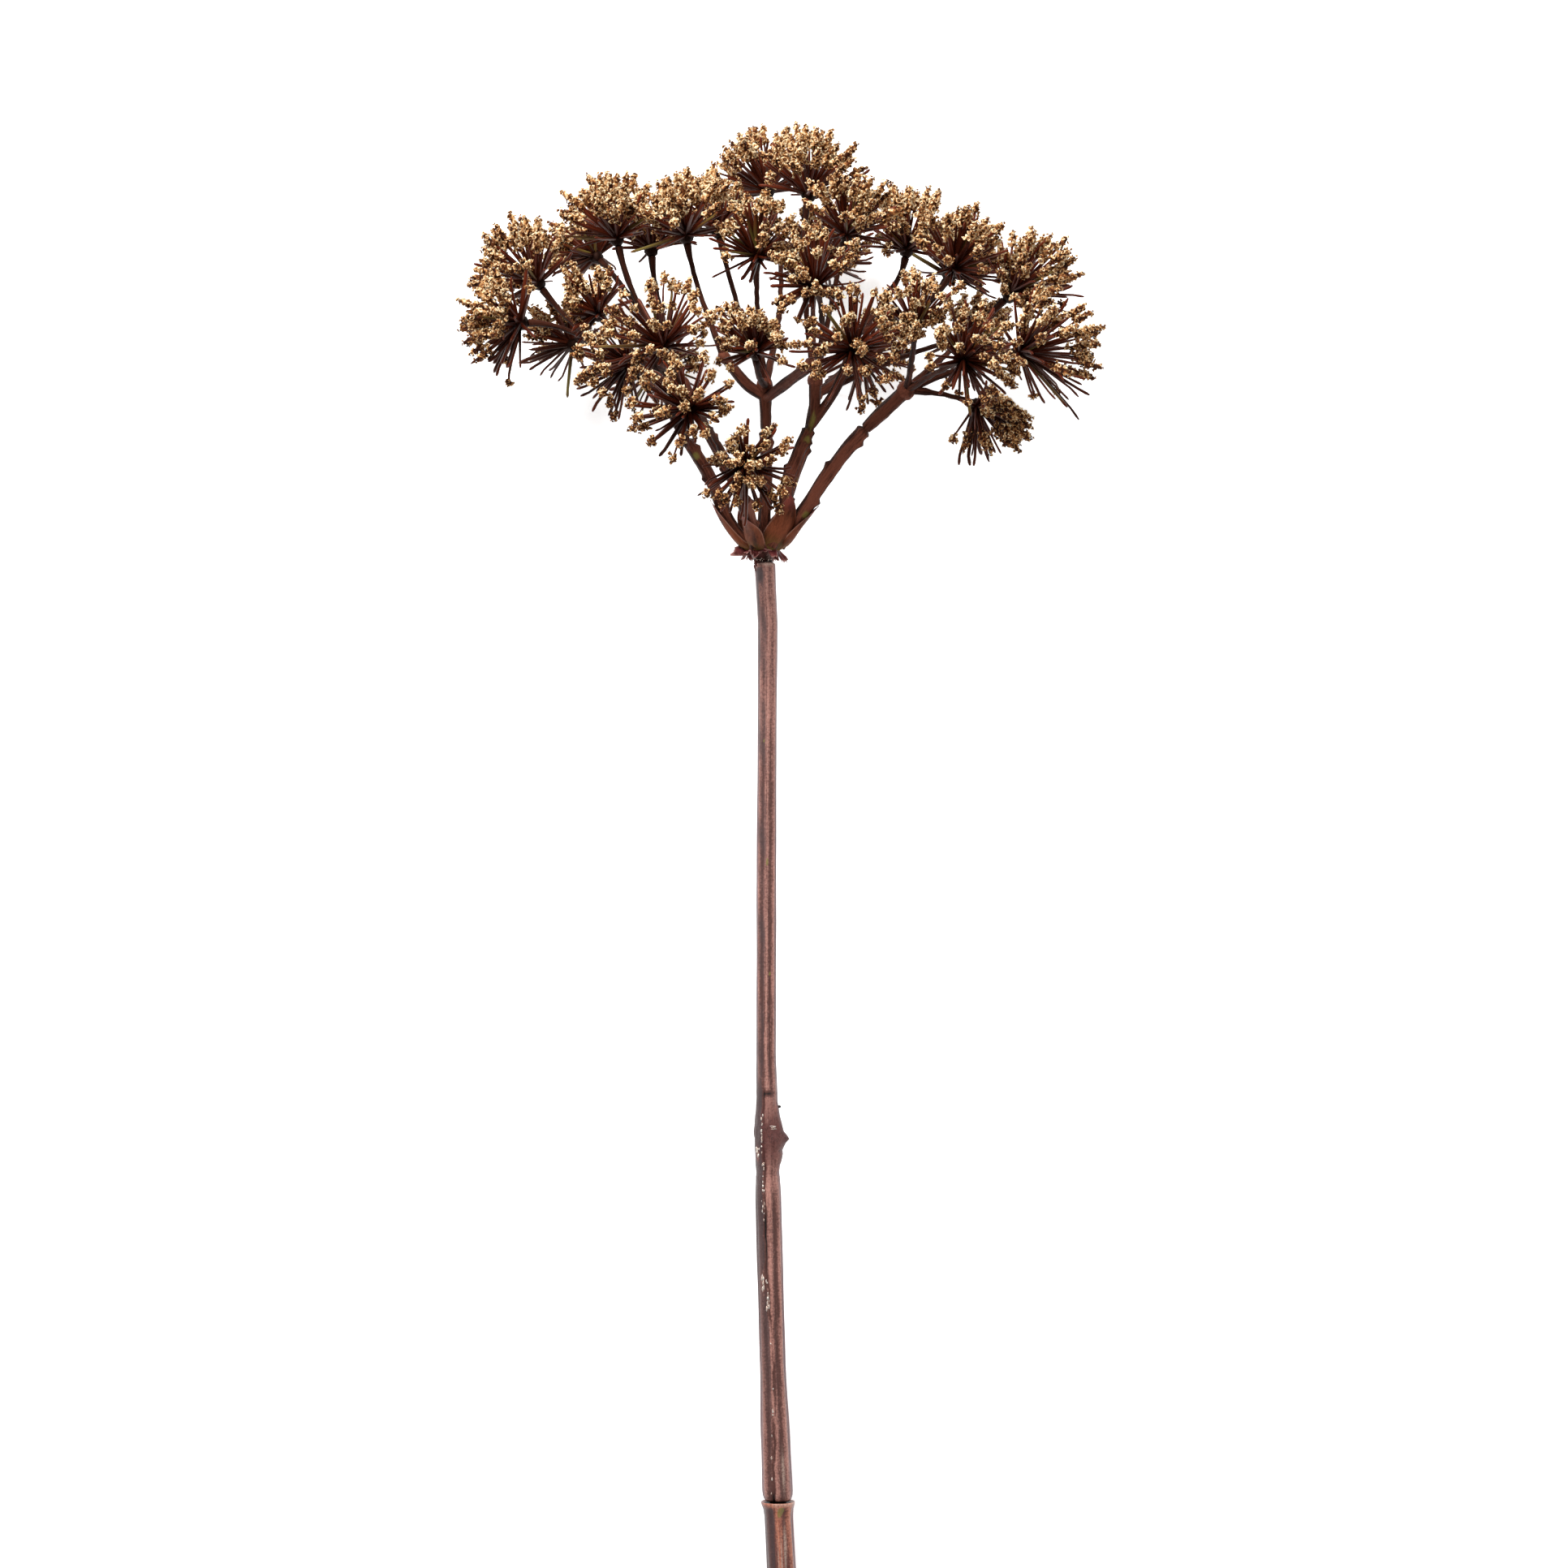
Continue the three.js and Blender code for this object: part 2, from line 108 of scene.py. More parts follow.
# Height, radius and depth of the grooves. The stem is sunk into the foot's hollow, flared rim.
STEM_ROWS = (
    (PEG_END, 0, 0), (PEG_END, PEG_RADIUS, 0), (JOINT - 0.1, PEG_RADIUS, 0), (JOINT - 0.1, 4.5, 0.02),
    (JOINT + 0.6, 5.2, 0.04), (JOINT + 1.9, 5.7, 0.06), (JOINT + 3.5, 5.85, 0.06), (-328, 5.6, 0.12),
    (-298, 4.95, 0.14), (-238, 5, 0.12), (-228, 4.5, 0.08), (-214, 5, 0.06), (-200, 4.1, 0.1),
    (-184, 3.75, 0.14), (-112, 3.8, 0.14), (-67, 3.6, 0.14), (-12, 3.8, 0.12), (-3, 3.95, 0.06),
    (-2.2, 2.9, 0), (-CLEARANCE, 2.8, 0), (-CLEARANCE, 0, 0),
)
FOOT_TUBE = ((CUT_END, 0, 0), (CUT_END, 5.6, 0.1), (-374, 5.6, 0.12), (JOINT - 6, 5.5, 0.12))
FOOT_SOCKET = ((SOCKET_FLOOR, SOCKET_RADIUS, 0), (SOCKET_FLOOR, 0, 0))
FOOT_ROWS = (
    *FOOT_TUBE, (JOINT - 3, 5.8, 0.06), (JOINT - 1.6, 6.15, 0.03), (JOINT - 0.8, 6.3, 0.02),
    (JOINT - 0.4, 6.15, 0.02), (JOINT - 0.5, 5.7, 0.02), (JOINT - 1.3, 5, 0), (JOINT - 1.3, SOCKET_RADIUS, 0),
    *FOOT_SOCKET,
)
# The foot with the plainer rim that it was packed with, by which the whole flower is placed.
PACKED_FOOT_ROWS = (
    *FOOT_TUBE, (JOINT - 2.6, 6.3, 0.04), (JOINT - 0.4, 5.9, 0.02), (JOINT - 0.4, SOCKET_RADIUS, 0),
    *FOOT_SOCKET,
)
# Where the deepest groove runs: its height and its angle.
CRACK = ((-349, -15), (-325, -4), (-310, 4), (-290, 2), (-275, -8), (-262, -16), (-185, -17))
# Patches of dried glue: height, angle, length and width.
GLUE = (
    (-220.5, -50, 2.2, 0.9), (-211, 28, 0.6, 1.2), (-268, -32, 3.0, 0.7), (-275, -14, 3.0, 0.6),
    (-240, -24, 2.0, 0.3),
)
# The bud at the stem's node: the heights and radii of its rings, and where its middle is across and up.
BUD = ((-228, 0), (-224, 2.6), (-215.5, 4.1), (-208, 2.4), (-201, 0))
BUD_MIDDLE = (4.2, 0.8)
NODE = -213
LEAF_SCAR = -215
CREASE, FOLD = -198.7, -227.5
# Stains, unbrowned patches, and grainy streaks of painted highlight on the stem and the foot: height, angle,
# length and width.
STEM_STAINS = ((-7, -35, 3, 0.4), (-13, -60, 6, 0.25), (-40, -62, 16, 0.15))
STEM_GREEN = ((-113, 5, 1.4, 0.14), (-68, -20, 0.7, 0.14), (-154, 24, 0.8, 0.14))
STEM_PAINTED_HIGHLIGHT = (-338, 28, 8, 0.12)
FOOT_GREEN = ((-351.6, 14, 0.9, 0.22), (-352.9, 7, 1.1, 0.17), (-354, 2, 0.8, 0.1))
FOOT_PAINTED_HIGHLIGHT = (-364, 24, 7, 0.12)

COLLAR_TOP = 6.4
# Height and radius of the collar's cup and of the glued neck under it.
CUP_ROWS = (
    (-2.1, 0), (-2.1, 3), (-1.5, 3.4), (-0.6, 3.7), (0.4, 4.4), (1.6, 5.3), (3, 6), (4.4, 6.4),
    (COLLAR_TOP, 6.5), (COLLAR_TOP, 0),
)
# Torn bracts round the cup: the angle of each, how long it is, its droop, its width and its twist.
BRACTS = (
    (178, 6.0, 14, 5.6, 58), (196, 3.6, 58, 4.6, 30), (214, 3.4, 74, 4.6, 10), (240, 3.2, 80, 4.6, 8),
    (268, 3.0, 84, 4.6, 0), (296, 3.4, 82, 5.0, -8), (322, 3.6, 76, 4.6, -14), (346, 5.4, 52, 5.0, -40),
    (4, 4.4, 66, 4.6, -30), (52, 3.6, 60, 4.6, -12), (115, 3.6, 55, 4.4, 12),
)
# Blobs of glue on the neck: angle, height and size.
NECK_BLOBS = ((-62, -2.4, 0.9), (-76, -3.9, 0.7), (-50, -3.4, 0.6), (-35, -2.2, 0.5), (-66, -5.2, 0.5))

FORK_FOOT = COLLAR_TOP - 3
SCAR_SHARES = (0.3, 0.48, 0.66)
JOINT_SHARE = 0.72
RAY_FOOT_RADIUS = 1.7
RAY_BEND = 0.4
BRANCH_RINGS = 6
RAY_RINGS = 3

HUB_RADIUS = 3
WIDEST = math.radians(110)
BETWEEN_WIDEST = math.radians(98)
FLOWERING = math.radians(90)
CAP_SHARE = 0.82
WANDER = 0.3
ATTEMPTS = 7
PEDICEL_RADIUS = 0.55
FLORET_RADIUS = 2.7
FLORET_LENGTH = 8
SHORTEST_PEDICEL = 12
# Shares of a round and of a cap that never fall in step, for places spread evenly however many there are.
STEP_ROUND, STEP_OUT = 0.7548777, 0.5698403
SHORTENED = 0.86
BETWEEN_FULLNESS = 0.94
BETWEEN_SEED = 5000

# Unbrowned patches by limb: how far along, which way they face, and how tall they are.
GREEN_LEFT = {60: ((0.21, 38, 1.5),), 70: ((0.76, 5, 3.2), (0.66, 25, 1.2)), 100: ((0.62, -10, 1.5),)}
# How far out each row of a petal is, and half its width.
PETAL_ROWS = ((0, 0.16), (0.35, 0.36), (0.7, 0.44), (1, 0.26))
# The rows of a ruffled floret: how much each waves, its reach, its height, and how light it is painted: dark in
# the crease and under the rolled lip as painted shade, palest on the lip as painted highlight.
RUFFLE_ROWS = ((0, 0.1, 0.5, 0.8), (0.3, 0.42, 0.15, 0.0), (1, 0.72, 0.7, 1.0), (0.8, 0.95, 0.1, 0.4))

# Each limb: its branch, its path and its radii at the foot and the fork, and then the hub, the facing and the
# reach of each umbellet that it bears.
LIMBS = (
    (
        "right",
        ((5.5, FORK_FOOT, 0), (14, 14.7, 3), (24.4, 30, 7), (35.5, 43.5, 13), (52.5, 59.5, 20)),
        (2.6, 2.9),
        ((77.8, 53.2, 26), (0.85, -0.45, 0.3), 26),
        ((71.6, 66.8, 60), (0.4, 0.1, 0.9), 25),
        ((93.5, 72.5, 28), (0.95, 0.15, 0.35), 35),
        ((90.9, 95.3, 12), (0.7, 0.65, 0.25), 31),
        ((54.5, 78.3, 52), (0, 0.6, 0.8), 24),
    ),
    (
        "upright",
        ((2.75, FORK_FOOT, 4.76), (7.8, 13, 6.5), (8.9, 26, 8), (13, 37, 9), (18.4, 50, 10), (19.3, 64, 9)),
        (2.5, 2.4),
        ((16.8, 133.5, 2), (0.15, 1, 0), 28),
        ((30.5, 115.8, 26), (0.2, 0.9, 0.35), 27),
        ((18.5, 94, 52), (-0.25, 0.4, 0.85), 25),
    ),
    (
        "upright",
        ((18, 48, 10), (27, 61, 10), (35, 82, 9)),
        (1.9, 1.7),
        ((53, 112.9, 4), (0.15, 1, 0.1), 27),
        ((69.6, 103.7, 24), (0.35, 0.75, 0.55), 27),
    ),
    (
        "centre",
        ((0, FORK_FOOT, 0), (1.2, 26, 4), (1.2, 46, 9), (0.8, 62, 12)),
        (2.4, 2.5),
        ((-2.4, 71.2, 44), (-0.05, 0.75, 0.65), 25),
        ((-16.5, 121.5, -8), (-0.2, 1, 0), 27),
        ((-1.9, 106.6, 36), (0.05, 0.7, 0.7), 26),
        ((1.4, 138.8, -28), (-0.3, 0.95, -0.15), 28),
    ),
    (
        "centre",
        ((1, 57, 11), (8.5, 61.5, 24), (17.5, 66.5, 44)),
        (2.1, 2.2),
        ((32.2, 69.5, 70), (0.05, 0.1, 1), 26),
    ),
    (
        "centre",
        ((0.8, 58, 11), (-5.5, 62, 12), (-14, 72, 14)),
        (2.3, 1.9),
        ((-28, 116, 22), (-0.15, 0.95, 0.3), 27),
    ),
    (
        "front",
        ((-2.75, FORK_FOOT, 4.76), (-4.5, 13, 16), (-8, 24, 40)),
        (2.4, 1.9),
        ((-5.7, 28.2, 74), (0.05, -0.25, 1), 23),
        ((-25.6, 47.8, 76), (-0.25, 0, 1), 25),
        ((-35.2, 71.7, 60), (-0.15, 0.5, 0.85), 28),
    ),
    (
        "left",
        ((-5.5, FORK_FOOT, 0), (-12.5, 12.5, 2), (-20, 29.7, 5), (-30.5, 46.5, 10), (-35, 58, 12)),
        (2.6, 2.2),
        ((-48.5, 68.4, 30), (-0.5, -0.35, 0.7), 25),
        ((-88.9, 84.6, 14), (-0.95, -0.05, 0.3), 26),
        ((-60.5, 88, 14), (-0.6, 0.6, 0.45), 25),
        ((-84.1, 102.5, -12), (-0.6, 0.8, 0), 30),
    ),
    (
        "back_left",
        ((-2.75, FORK_FOOT, -4.76), (-9, 24, -11), (-20, 46, -18), (-30, 66, -24)),
        (2.4, 2.1),
        ((-53.8, 117, 5), (-0.2, 1, 0.1), 28),
        ((-42, 117, -28), (-0.05, 1, -0.15), 27),
        ((-63.7, 116.3, -44), (-0.6, 0.65, -0.45), 24),
        ((-40, 76, -58), (-0.2, 0.2, -1), 25),
        ((-72, 82, -36), (-0.6, 0.55, -0.6), 25),
    ),
    (
        "back_right",
        ((2.75, FORK_FOOT, -4.76), (10, 26, -12), (16, 44, -20), (20, 62, -25)),
        (2.4, 2.1),
        ((38, 80, -60), (0.2, 0.2, -1), 25),
        ((75, 84, -40), (0.75, 0.2, -0.65), 25),
        ((70, 107, -22), (0.5, 0.85, -0.15), 27),
        ((22, 116, -60), (0.2, 0.7, -0.7), 26),
    ),
)
BRANCHES = list(dict.fromkeys(limb[0] for limb in LIMBS))

# ---------------------------------------------------------------- vectors, curves and grids


def unit(vector):
    """The vector, or each row of an array, at length one."""
    vector = np.asarray(vector, float)
    return vector / np.maximum(np.linalg.norm(vector, axis=-1, keepdims=True), 1e-12)


def turned(vector, axis, angle):
    """A vector turned about a unit axis."""
    along = axis * np.dot(vector, axis)
    return along + (vector - along) * math.cos(angle) + np.cross(axis, vector) * math.sin(angle)


def turn_from_up(direction):
    """The matrix that turns the second axis the short way to a direction."""
    half = (*np.cross(UP, direction), 1 + direction[1])
    x, y, z, w = np.array(half) / np.linalg.norm(half)
    return np.array(
        (
            (1 - 2 * (y * y + z * z), 2 * (x * y - z * w), 2 * (x * z + y * w)),
            (2 * (x * y + z * w), 1 - 2 * (x * x + z * z), 2 * (y * z - x * w)),
            (2 * (x * z - y * w), 2 * (y * z + x * w), 1 - 2 * (x * x + y * y)),
        )
    )


def sideways(turn, reach=1.0):
    """A step out from the stem at an angle from the side that is turned up."""
    return np.array((reach * math.sin(turn), 0, reach * math.cos(turn)))


def away_from(facing, direction):
    """The angle between two directions."""
    return math.acos(np.clip(np.dot(direction, facing), -1, 1))


def chance(seed):
    """A number from 0 to 1 that looks drawn by chance but is the same each time."""
    value = math.sin(seed * 12.9898) * 43758.5453
    return value - math.floor(value)


def hump(off, width):
    """1 where something is 0 off, and falling to 0 past a width."""
    return np.exp(-((off / width) ** 2))


def swing(around, turn):
    """How far round each angle is from another, up to half a turn either way."""
    return (around - turn + math.pi) % (2 * math.pi) - math.pi


def steps_round(sides):
    """The angles of the even steps round a ring."""
    return 2 * math.pi * np.arange(sides)[None] / sides


def columns(rows):
    """The columns of a table, each upright."""
    return [np.array(column, float)[:, None] for column in zip(*rows)]


def grid(*parts):
    """Arrays of rows and sides joined into one of points or tints."""
    return np.stack(np.broadcast_arrays(*parts), axis=-1)


def grid_faces(rows, sides, closed=True):
    """The four-cornered faces between rows of points, which close on themselves unless they are a sheet's."""
    row, side = np.indices((rows - 1, sides if closed else sides - 1)).reshape(2, -1)
    here, after = row * sides + side, row * sides + (side + 1) % sides
    return np.stack((here, after, after + sides, here + sides), axis=1)


def cap_faces(first, sides, middle, outward):
    """The three-cornered faces from a ring to the point in its middle."""
    side = np.arange(sides)
    after = (side + 1) % sides
    a, b = (side, after) if outward else (after, side)
    return np.stack((first + a, first + b, np.full(sides, middle)), axis=1)


def steps_along(line):
    """The distances from each point of a line to the next."""
    return np.linalg.norm(np.diff(line, axis=0), axis=1)


def lengths_along(line):
    """How far along a line each of its points is."""
    return np.concatenate(((0,), np.cumsum(steps_along(line))))


def evenly(points, count):
    """A finely sampled line taken again at even steps along its length."""
    along = lengths_along(points)
    wanted = np.linspace(0, along[-1], count)
    return np.stack([np.interp(wanted, along, points[:, i]) for i in range(3)], axis=1)


def smooth_path(path):
    """A fine line through the points of a path, easing with the distance between them."""
    path = [np.asarray(p, float) for p in path]
    path = [2 * path[0] - path[1], *path, 2 * path[-1] - path[-2]]
    t = np.linspace(0, 1, 80)[:, None]
    pieces = []
    for p0, p1, p2, p3 in zip(path, path[1:], path[2:], path[3:]):
        d0, d1, d2 = (math.sqrt(np.linalg.norm(b - a)) for a, b in ((p0, p1), (p1, p2), (p2, p3)))
        out = ((p1 - p0) / d0 - (p2 - p0) / (d0 + d1) + (p2 - p1) / d1) * d1
        back = ((p2 - p1) / d1 - (p3 - p1) / (d1 + d2) + (p3 - p2) / d2) * d1
        cubic = 2 * p1 - 2 * p2 + out + back
        square = -3 * p1 + 3 * p2 - 2 * out - back
        pieces.append(p1 + out * t + square * t**2 + cubic * t**3)
    return np.concatenate(pieces)


def ray_path(fork, hub, facing):
    """The line of a ray, which leaves its fork and turns to face the way that its umbellet does."""
    turn = hub - RAY_BEND * np.linalg.norm(hub - fork) * facing
    end = hub - (HUB_RADIUS + CLEARANCE) * facing
    t = np.linspace(0, 1, 120)[:, None]
    return (1 - t) ** 2 * fork + 2 * t * (1 - t) * turn + t**2 * end


def stem_middle(y):
    """How far across the middle of the stem is at a height."""
    return np.interp(y, *zip(*STEM_LINE))


def frames_along(line):
    """The direction and two steady cross directions at each point of a line."""
    along = unit(np.gradient(line, axis=0))
    cross = [unit(np.cross(along[0], (0.3, 0.2, 1.0)))]
    for here in along[1:]:
        cross.append(unit(cross[-1] - here * np.dot(cross[-1], here)))
    cross = np.array(cross)
    return along, cross, np.cross(along, cross)


# ---------------------------------------------------------------- laying the flower on the table


def leaned(points):
    """Points of the flower's frame, leaned back."""
    x, y, z = np.asarray(points, float).T
    c, s = math.cos(LEAN), math.sin(LEAN)
    return np.stack((x, y * c - z * s, y * s + z * c), axis=-1)


def packed_foot():
    """The points of the foot as it was packed."""
    y, radius, groove = columns(PACKED_FOOT_ROWS)
    around = steps_round(2 * STEM_RIBS)
    reach = radius * (1 - groove * (0.5 - 0.5 * np.cos(STEM_RIBS * around)))
    return grid(reach * np.sin(around) + stem_middle(y), y, reach * np.cos(around)).reshape(-1, 3)


# Where the flower's origin is in the frame, leaned and in millimetres.
HEAD_PLACE = np.array(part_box("stem_foot")[0]) / MM - leaned(packed_foot()).min(axis=0)


def in_scene(points):
    """Points of the flower's frame, in metres, where the flower lies."""
    return (leaned(points) + HEAD_PLACE) * MM


def height_over_table(point):
    """How high a point of the flower's frame lies, in millimetres."""
    return point[1] * math.sin(LEAN) + point[2] * math.cos(LEAN) + HEAD_PLACE[2]


# ---------------------------------------------------------------- where umbellets and pedicels go


class Umbellet:
    """One umbellet: its hub, the way that it faces, the reach of its pedicels and the line of its ray."""

    def __init__(self, branch, place, number, hub, facing, reach, fork):
        self.branch, self.name, self.number = branch, f"umbellet_{branch}_{place}", number
        self.hub, self.facing, self.reach = np.array(hub, float), unit(facing), reach
        self.ray = ray_path(np.array(fork, float), self.hub, self.facing)


def all_umbellets():
    """The umbellets of every branch, in order."""
    found, borne = [], dict.fromkeys(BRANCHES, 0)
    for branch, path, radii, *umbellets in LIMBS:
        for umbellet in umbellets:
            borne[branch] += 1
            found.append(Umbellet(branch, borne[branch], len(found), *umbellet, path[-1]))
    return found


UMBELLETS = all_umbellets()
HUBS = np.array([umbellet.hub for umbellet in UMBELLETS])


def all_wood():
    """Every straight stretch of branch and ray: its two ends, its radius and the umbellet that it bears."""
    stretches = []
    for branch, path, radii, *umbellets in LIMBS:
        line = evenly(smooth_path(path), BRANCH_RINGS + 1)
        stretches += [(a, b, max(radii), -1) for a, b in zip(line, line[1:])]
    for umbellet in UMBELLETS:
        line = evenly(umbellet.ray, RAY_RINGS + 1)
        stretches += [(a, b, RAY_FOOT_RADIUS, umbellet.number) for a, b in zip(line, line[1:])]
    return [np.array(column) for column in zip(*stretches)]


WOOD_FROM, WOOD_TO, WOOD_RADIUS, WOOD_OWNER = all_wood()


def meets_wood(umbellet, direction, length):
    """Whether a pedicel would run through a branch or another umbellet's ray."""
    along = np.arange(HUB_RADIUS + 1, length + 1e-9)
    places = umbellet.hub + along[:, None] * direction
    own = np.where(along > length - FLORET_LENGTH, FLORET_RADIUS, PEDICEL_RADIUS)
    span = WOOD_TO - WOOD_FROM
    share = np.einsum("psk,sk->ps", places[:, None] - WOOD_FROM, span) / np.einsum("sk,sk->s", span, span)
    nearest = WOOD_FROM + np.clip(share, 0, 1)[..., None] * span
    apart = np.linalg.norm(places[:, None] - nearest, axis=2) - WOOD_RADIUS - own[:, None] - CLEARANCE
    return bool((apart[:, WOOD_OWNER != umbellet.number] < 0).any())


def pedicel_room(umbellet, direction, wanted):
    """How long a pedicel can be, short of the next umbellet's room and of the table."""
    apart = np.delete(HUBS, umbellet.number, axis=0) - umbellet.hub
    far = np.linalg.norm(apart, axis=1)
    towards = apart @ direction / far
    room = (far / 2 - FLORET_RADIUS - CLEARANCE)[towards > 0] / towards[towards > 0]
    length = room.min(initial=wanted)
    drop = -(direction[1] * math.sin(LEAN) + direction[2] * math.cos(LEAN))
    if drop > 0:
        length = min(length, (height_over_table(umbellet.hub) - FLORET_RADIUS / 2) / drop)
    return length


def pedicel_place(umbellet, across, seed, fullness=1.0):
    """The direction and length of a pedicel near an even place, clear of the wood, or None."""
    away = away_from(umbellet.facing, across)
    drawn_in = turned(umbellet.facing, unit(np.cross(umbellet.facing, across)), CAP_SHARE * away)
    length = umbellet.reach * (SHORTENED + (1 - SHORTENED) * chance(seed)) * fullness
    for attempt in range(ATTEMPTS):
        drift = np.array([chance(seed + 7 * i + 31 * attempt) - 0.5 for i in (1, 2, 3)])
        direction = unit(drawn_in + drift * WANDER * (1 + attempt / 3))
        room = pedicel_room(umbellet, direction, length)
        if room > SHORTEST_PEDICEL and not meets_wood(umbellet, direction, room):
            return direction, room
    return None


def hub_faces():
    """The middles of the faces of an eight-sided ball with each face cut into four."""
    corners = np.array(((1, 0, 0), (-1, 0, 0), (0, 1, 0), (0, -1, 0), (0, 0, 1), (0, 0, -1)), float)
    sides = ((0, 2, 4), (0, 4, 3), (0, 3, 5), (0, 5, 2), (1, 2, 5), (1, 5, 3), (1, 3, 4), (1, 4, 2))
    middles = []
    for a, b, c in corners[np.array(sides)]:
        ab, bc, ac = unit(a + b), unit(b + c), unit(a + c)
        middles += [unit(ab + ac + a), unit(ab + bc + ac), unit(b + bc + ab), unit(bc + c + ac)]
    return middles


HUB_FACES = hub_faces()


def main_pedicels(umbellet):
    """The pedicels that grow from the even faces of the hub, as direction, length and whether in flower."""
    spin, turn = umbellet.number, turn_from_up(umbellet.facing)
    found = []
    for face, (x, y, z) in enumerate(HUB_FACES):
        spun = (math.cos(spin) * x + math.sin(spin) * z, y, math.cos(spin) * z - math.sin(spin) * x)
        across = turn @ np.array(spun)
        away = away_from(umbellet.facing, across)
        place = away < WIDEST and pedicel_place(umbellet, across, 100 * umbellet.number + face)
        if place:
            found.append((*place, away < FLOWERING))
    return found


def between_pedicels(umbellet, count):
    """Finer pedicels between the main ones, spread evenly by a stepping sequence over the cap."""
    turn = turn_from_up(umbellet.facing)
    found = []
    for k in range(count):
        around = 2 * math.pi * ((0.5 + k * STEP_ROUND) % 1) + umbellet.number
        away = math.acos(1 - ((0.5 + k * STEP_OUT) % 1) * (1 - math.cos(BETWEEN_WIDEST)))
        out = (math.sin(away) * math.sin(around), math.cos(away), math.sin(away) * math.cos(around))
        seed = BETWEEN_SEED + 100 * umbellet.number + k
        place = pedicel_place(umbellet, turn @ np.array(out), seed, BETWEEN_FULLNESS)
        if place:
            found.append((*place, away < FLOWERING))
    return found


# ---------------------------------------------------------------- meshes


class Skin:
    """The points and faces of one piece, gathered before its mesh is made.

    Each point has a tint of four masks, whose meaning each finish tells, and a grain, which is its place round
    and along its own stalk, for streaks that follow it.
    """

    def __init__(self):
        self.points, self.tints, self.grains = [], [], []
        self.corners, self.sizes, self.finishes = [], [], []
        self.count = 0

    def add(self, points, faces, finish, tint, grain=None, ends=()):
        """Adds points and the faces between them, with the three-cornered ones at the ends apart."""
        points = np.reshape(points, (-1, 3))
        self.points.append(points)
        self.tints.append(np.broadcast_to(np.reshape(tint, (-1, 4)), (len(points), 4)))
        self.grains.append(points / 10 if grain is None else np.reshape(grain, (-1, 3)))
        for group in (faces, ends):
            if len(group):
                self.corners.append((group + self.count).ravel())
                self.sizes.append(np.full(len(group), group.shape[1]))
                self.finishes.append(np.full(len(group), finish))
        self.count += len(points)

    def mesh(self, name):
        """The mesh, laid in the frame and kept inside the box that the flower was packed in."""
        mesh = bpy.data.meshes.new(name)
        corners, sizes = np.concatenate(self.corners), np.concatenate(self.sizes)
        mesh.vertices.add(self.count)
        mesh.vertices.foreach_set("co", np.clip(in_scene(np.concatenate(self.points)), *CAD_BOX).ravel())
        mesh.loops.add(len(corners))
        mesh.loops.foreach_set("vertex_index", corners.astype(np.int32))
        mesh.polygons.add(len(sizes))
        mesh.polygons.foreach_set("loop_start", (np.cumsum(sizes) - sizes).astype(np.int32))
        mesh.polygons.foreach_set("material_index", np.concatenate(self.finishes).astype(np.int32))
        mesh.update(calc_edges=True)
        mesh.polygons.foreach_set("use_smooth", np.ones(len(sizes), bool))
        tint = mesh.attributes.new("tint", "FLOAT_COLOR", "POINT")
        tint.data.foreach_set("color", np.concatenate(self.tints).astype(np.float32).ravel())
        grain = mesh.attributes.new("grain", "FLOAT_VECTOR", "POINT")
        grain.data.foreach_set("vector", np.concatenate(self.grains).astype(np.float32).ravel())
        return mesh


def place_piece(node, skin, finishes):
    """Puts one node's skin, with its finishes, in place of the node."""
    piece = bpy.data.objects.new(f"{node}_grown", skin.mesh(f"{node}_grown"))
    bpy.context.scene.collection.objects.link(piece)
    for finish in finishes:
        piece.data.materials.append(finish)
    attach(piece, "root")
    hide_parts(node)


def add_tube(skin, line, reach, sides, finish, tint):
    """A tube along a line, domed at its far end. Its reach and tint are for each ring, or ring and side."""
    rings = len(line)
    reach = np.broadcast_to(reach.reshape(rings, -1), (rings, sides))
    tint = np.broadcast_to(tint.reshape(rings, -1, 4), (rings, sides, 4)).reshape(-1, 4)
    around = steps_round(sides)
    along, first, second = frames_along(line)
    out = first[:, None] * np.cos(around)[..., None] + second[:, None] * np.sin(around)[..., None]
    points = (line[:, None] + out * reach[..., None]).reshape(-1, 3)
    upward = lengths_along(line)[:, None] / 10
    grain = grid(np.cos(around), np.sin(around), upward).reshape(-1, 3)
    dome = line[-1] + along[-1] * reach[-1].mean() * 0.25
    last = (rings - 1) * sides
    skin.add(
        np.vstack((points, dome)), grid_faces(rings, sides), finish, np.vstack((tint, tint[last])),
        np.vstack((grain, (0, 0, upward[-1, 0]))), cap_faces(last, sides, rings * sides, True),
    )


def add_ball(skin, middle, stretch, finish, tint, rows, sides, lumps, seed, turn=np.eye(3)):
    """A ball, stretched, turned and made lumpy."""
    lift = np.linspace(-math.pi / 2, math.pi / 2, rows + 2)[1:-1, None]
    around = steps_round(sides)
    rings = grid(np.cos(lift) * np.sin(around), np.sin(lift), np.cos(lift) * np.cos(around))
    points = np.vstack((rings.reshape(-1, 3), -UP, UP))
    points = points * (1 + lumps * (np.random.default_rng(seed).random((len(points), 1)) - 0.5))
    bottom = cap_faces(0, sides, rows * sides, False)
    top = cap_faces((rows - 1) * sides, sides, rows * sides + 1, True)
    placed = (points * stretch) @ turn.T + middle
    skin.add(placed, grid_faces(rows, sides), finish, tint, points * 0.6, np.vstack((bottom, top)))


# ---------------------------------------------------------------- finishes


def colour(*seen):
    """A colour given as it is seen, from 0 to 255, as Blender wants it."""
    shares = [c / 255 for c in seen]
    return tuple(c / 12.92 if c <= 0.04045 else ((c + 0.055) / 1.055) ** 2.4 for c in shares)


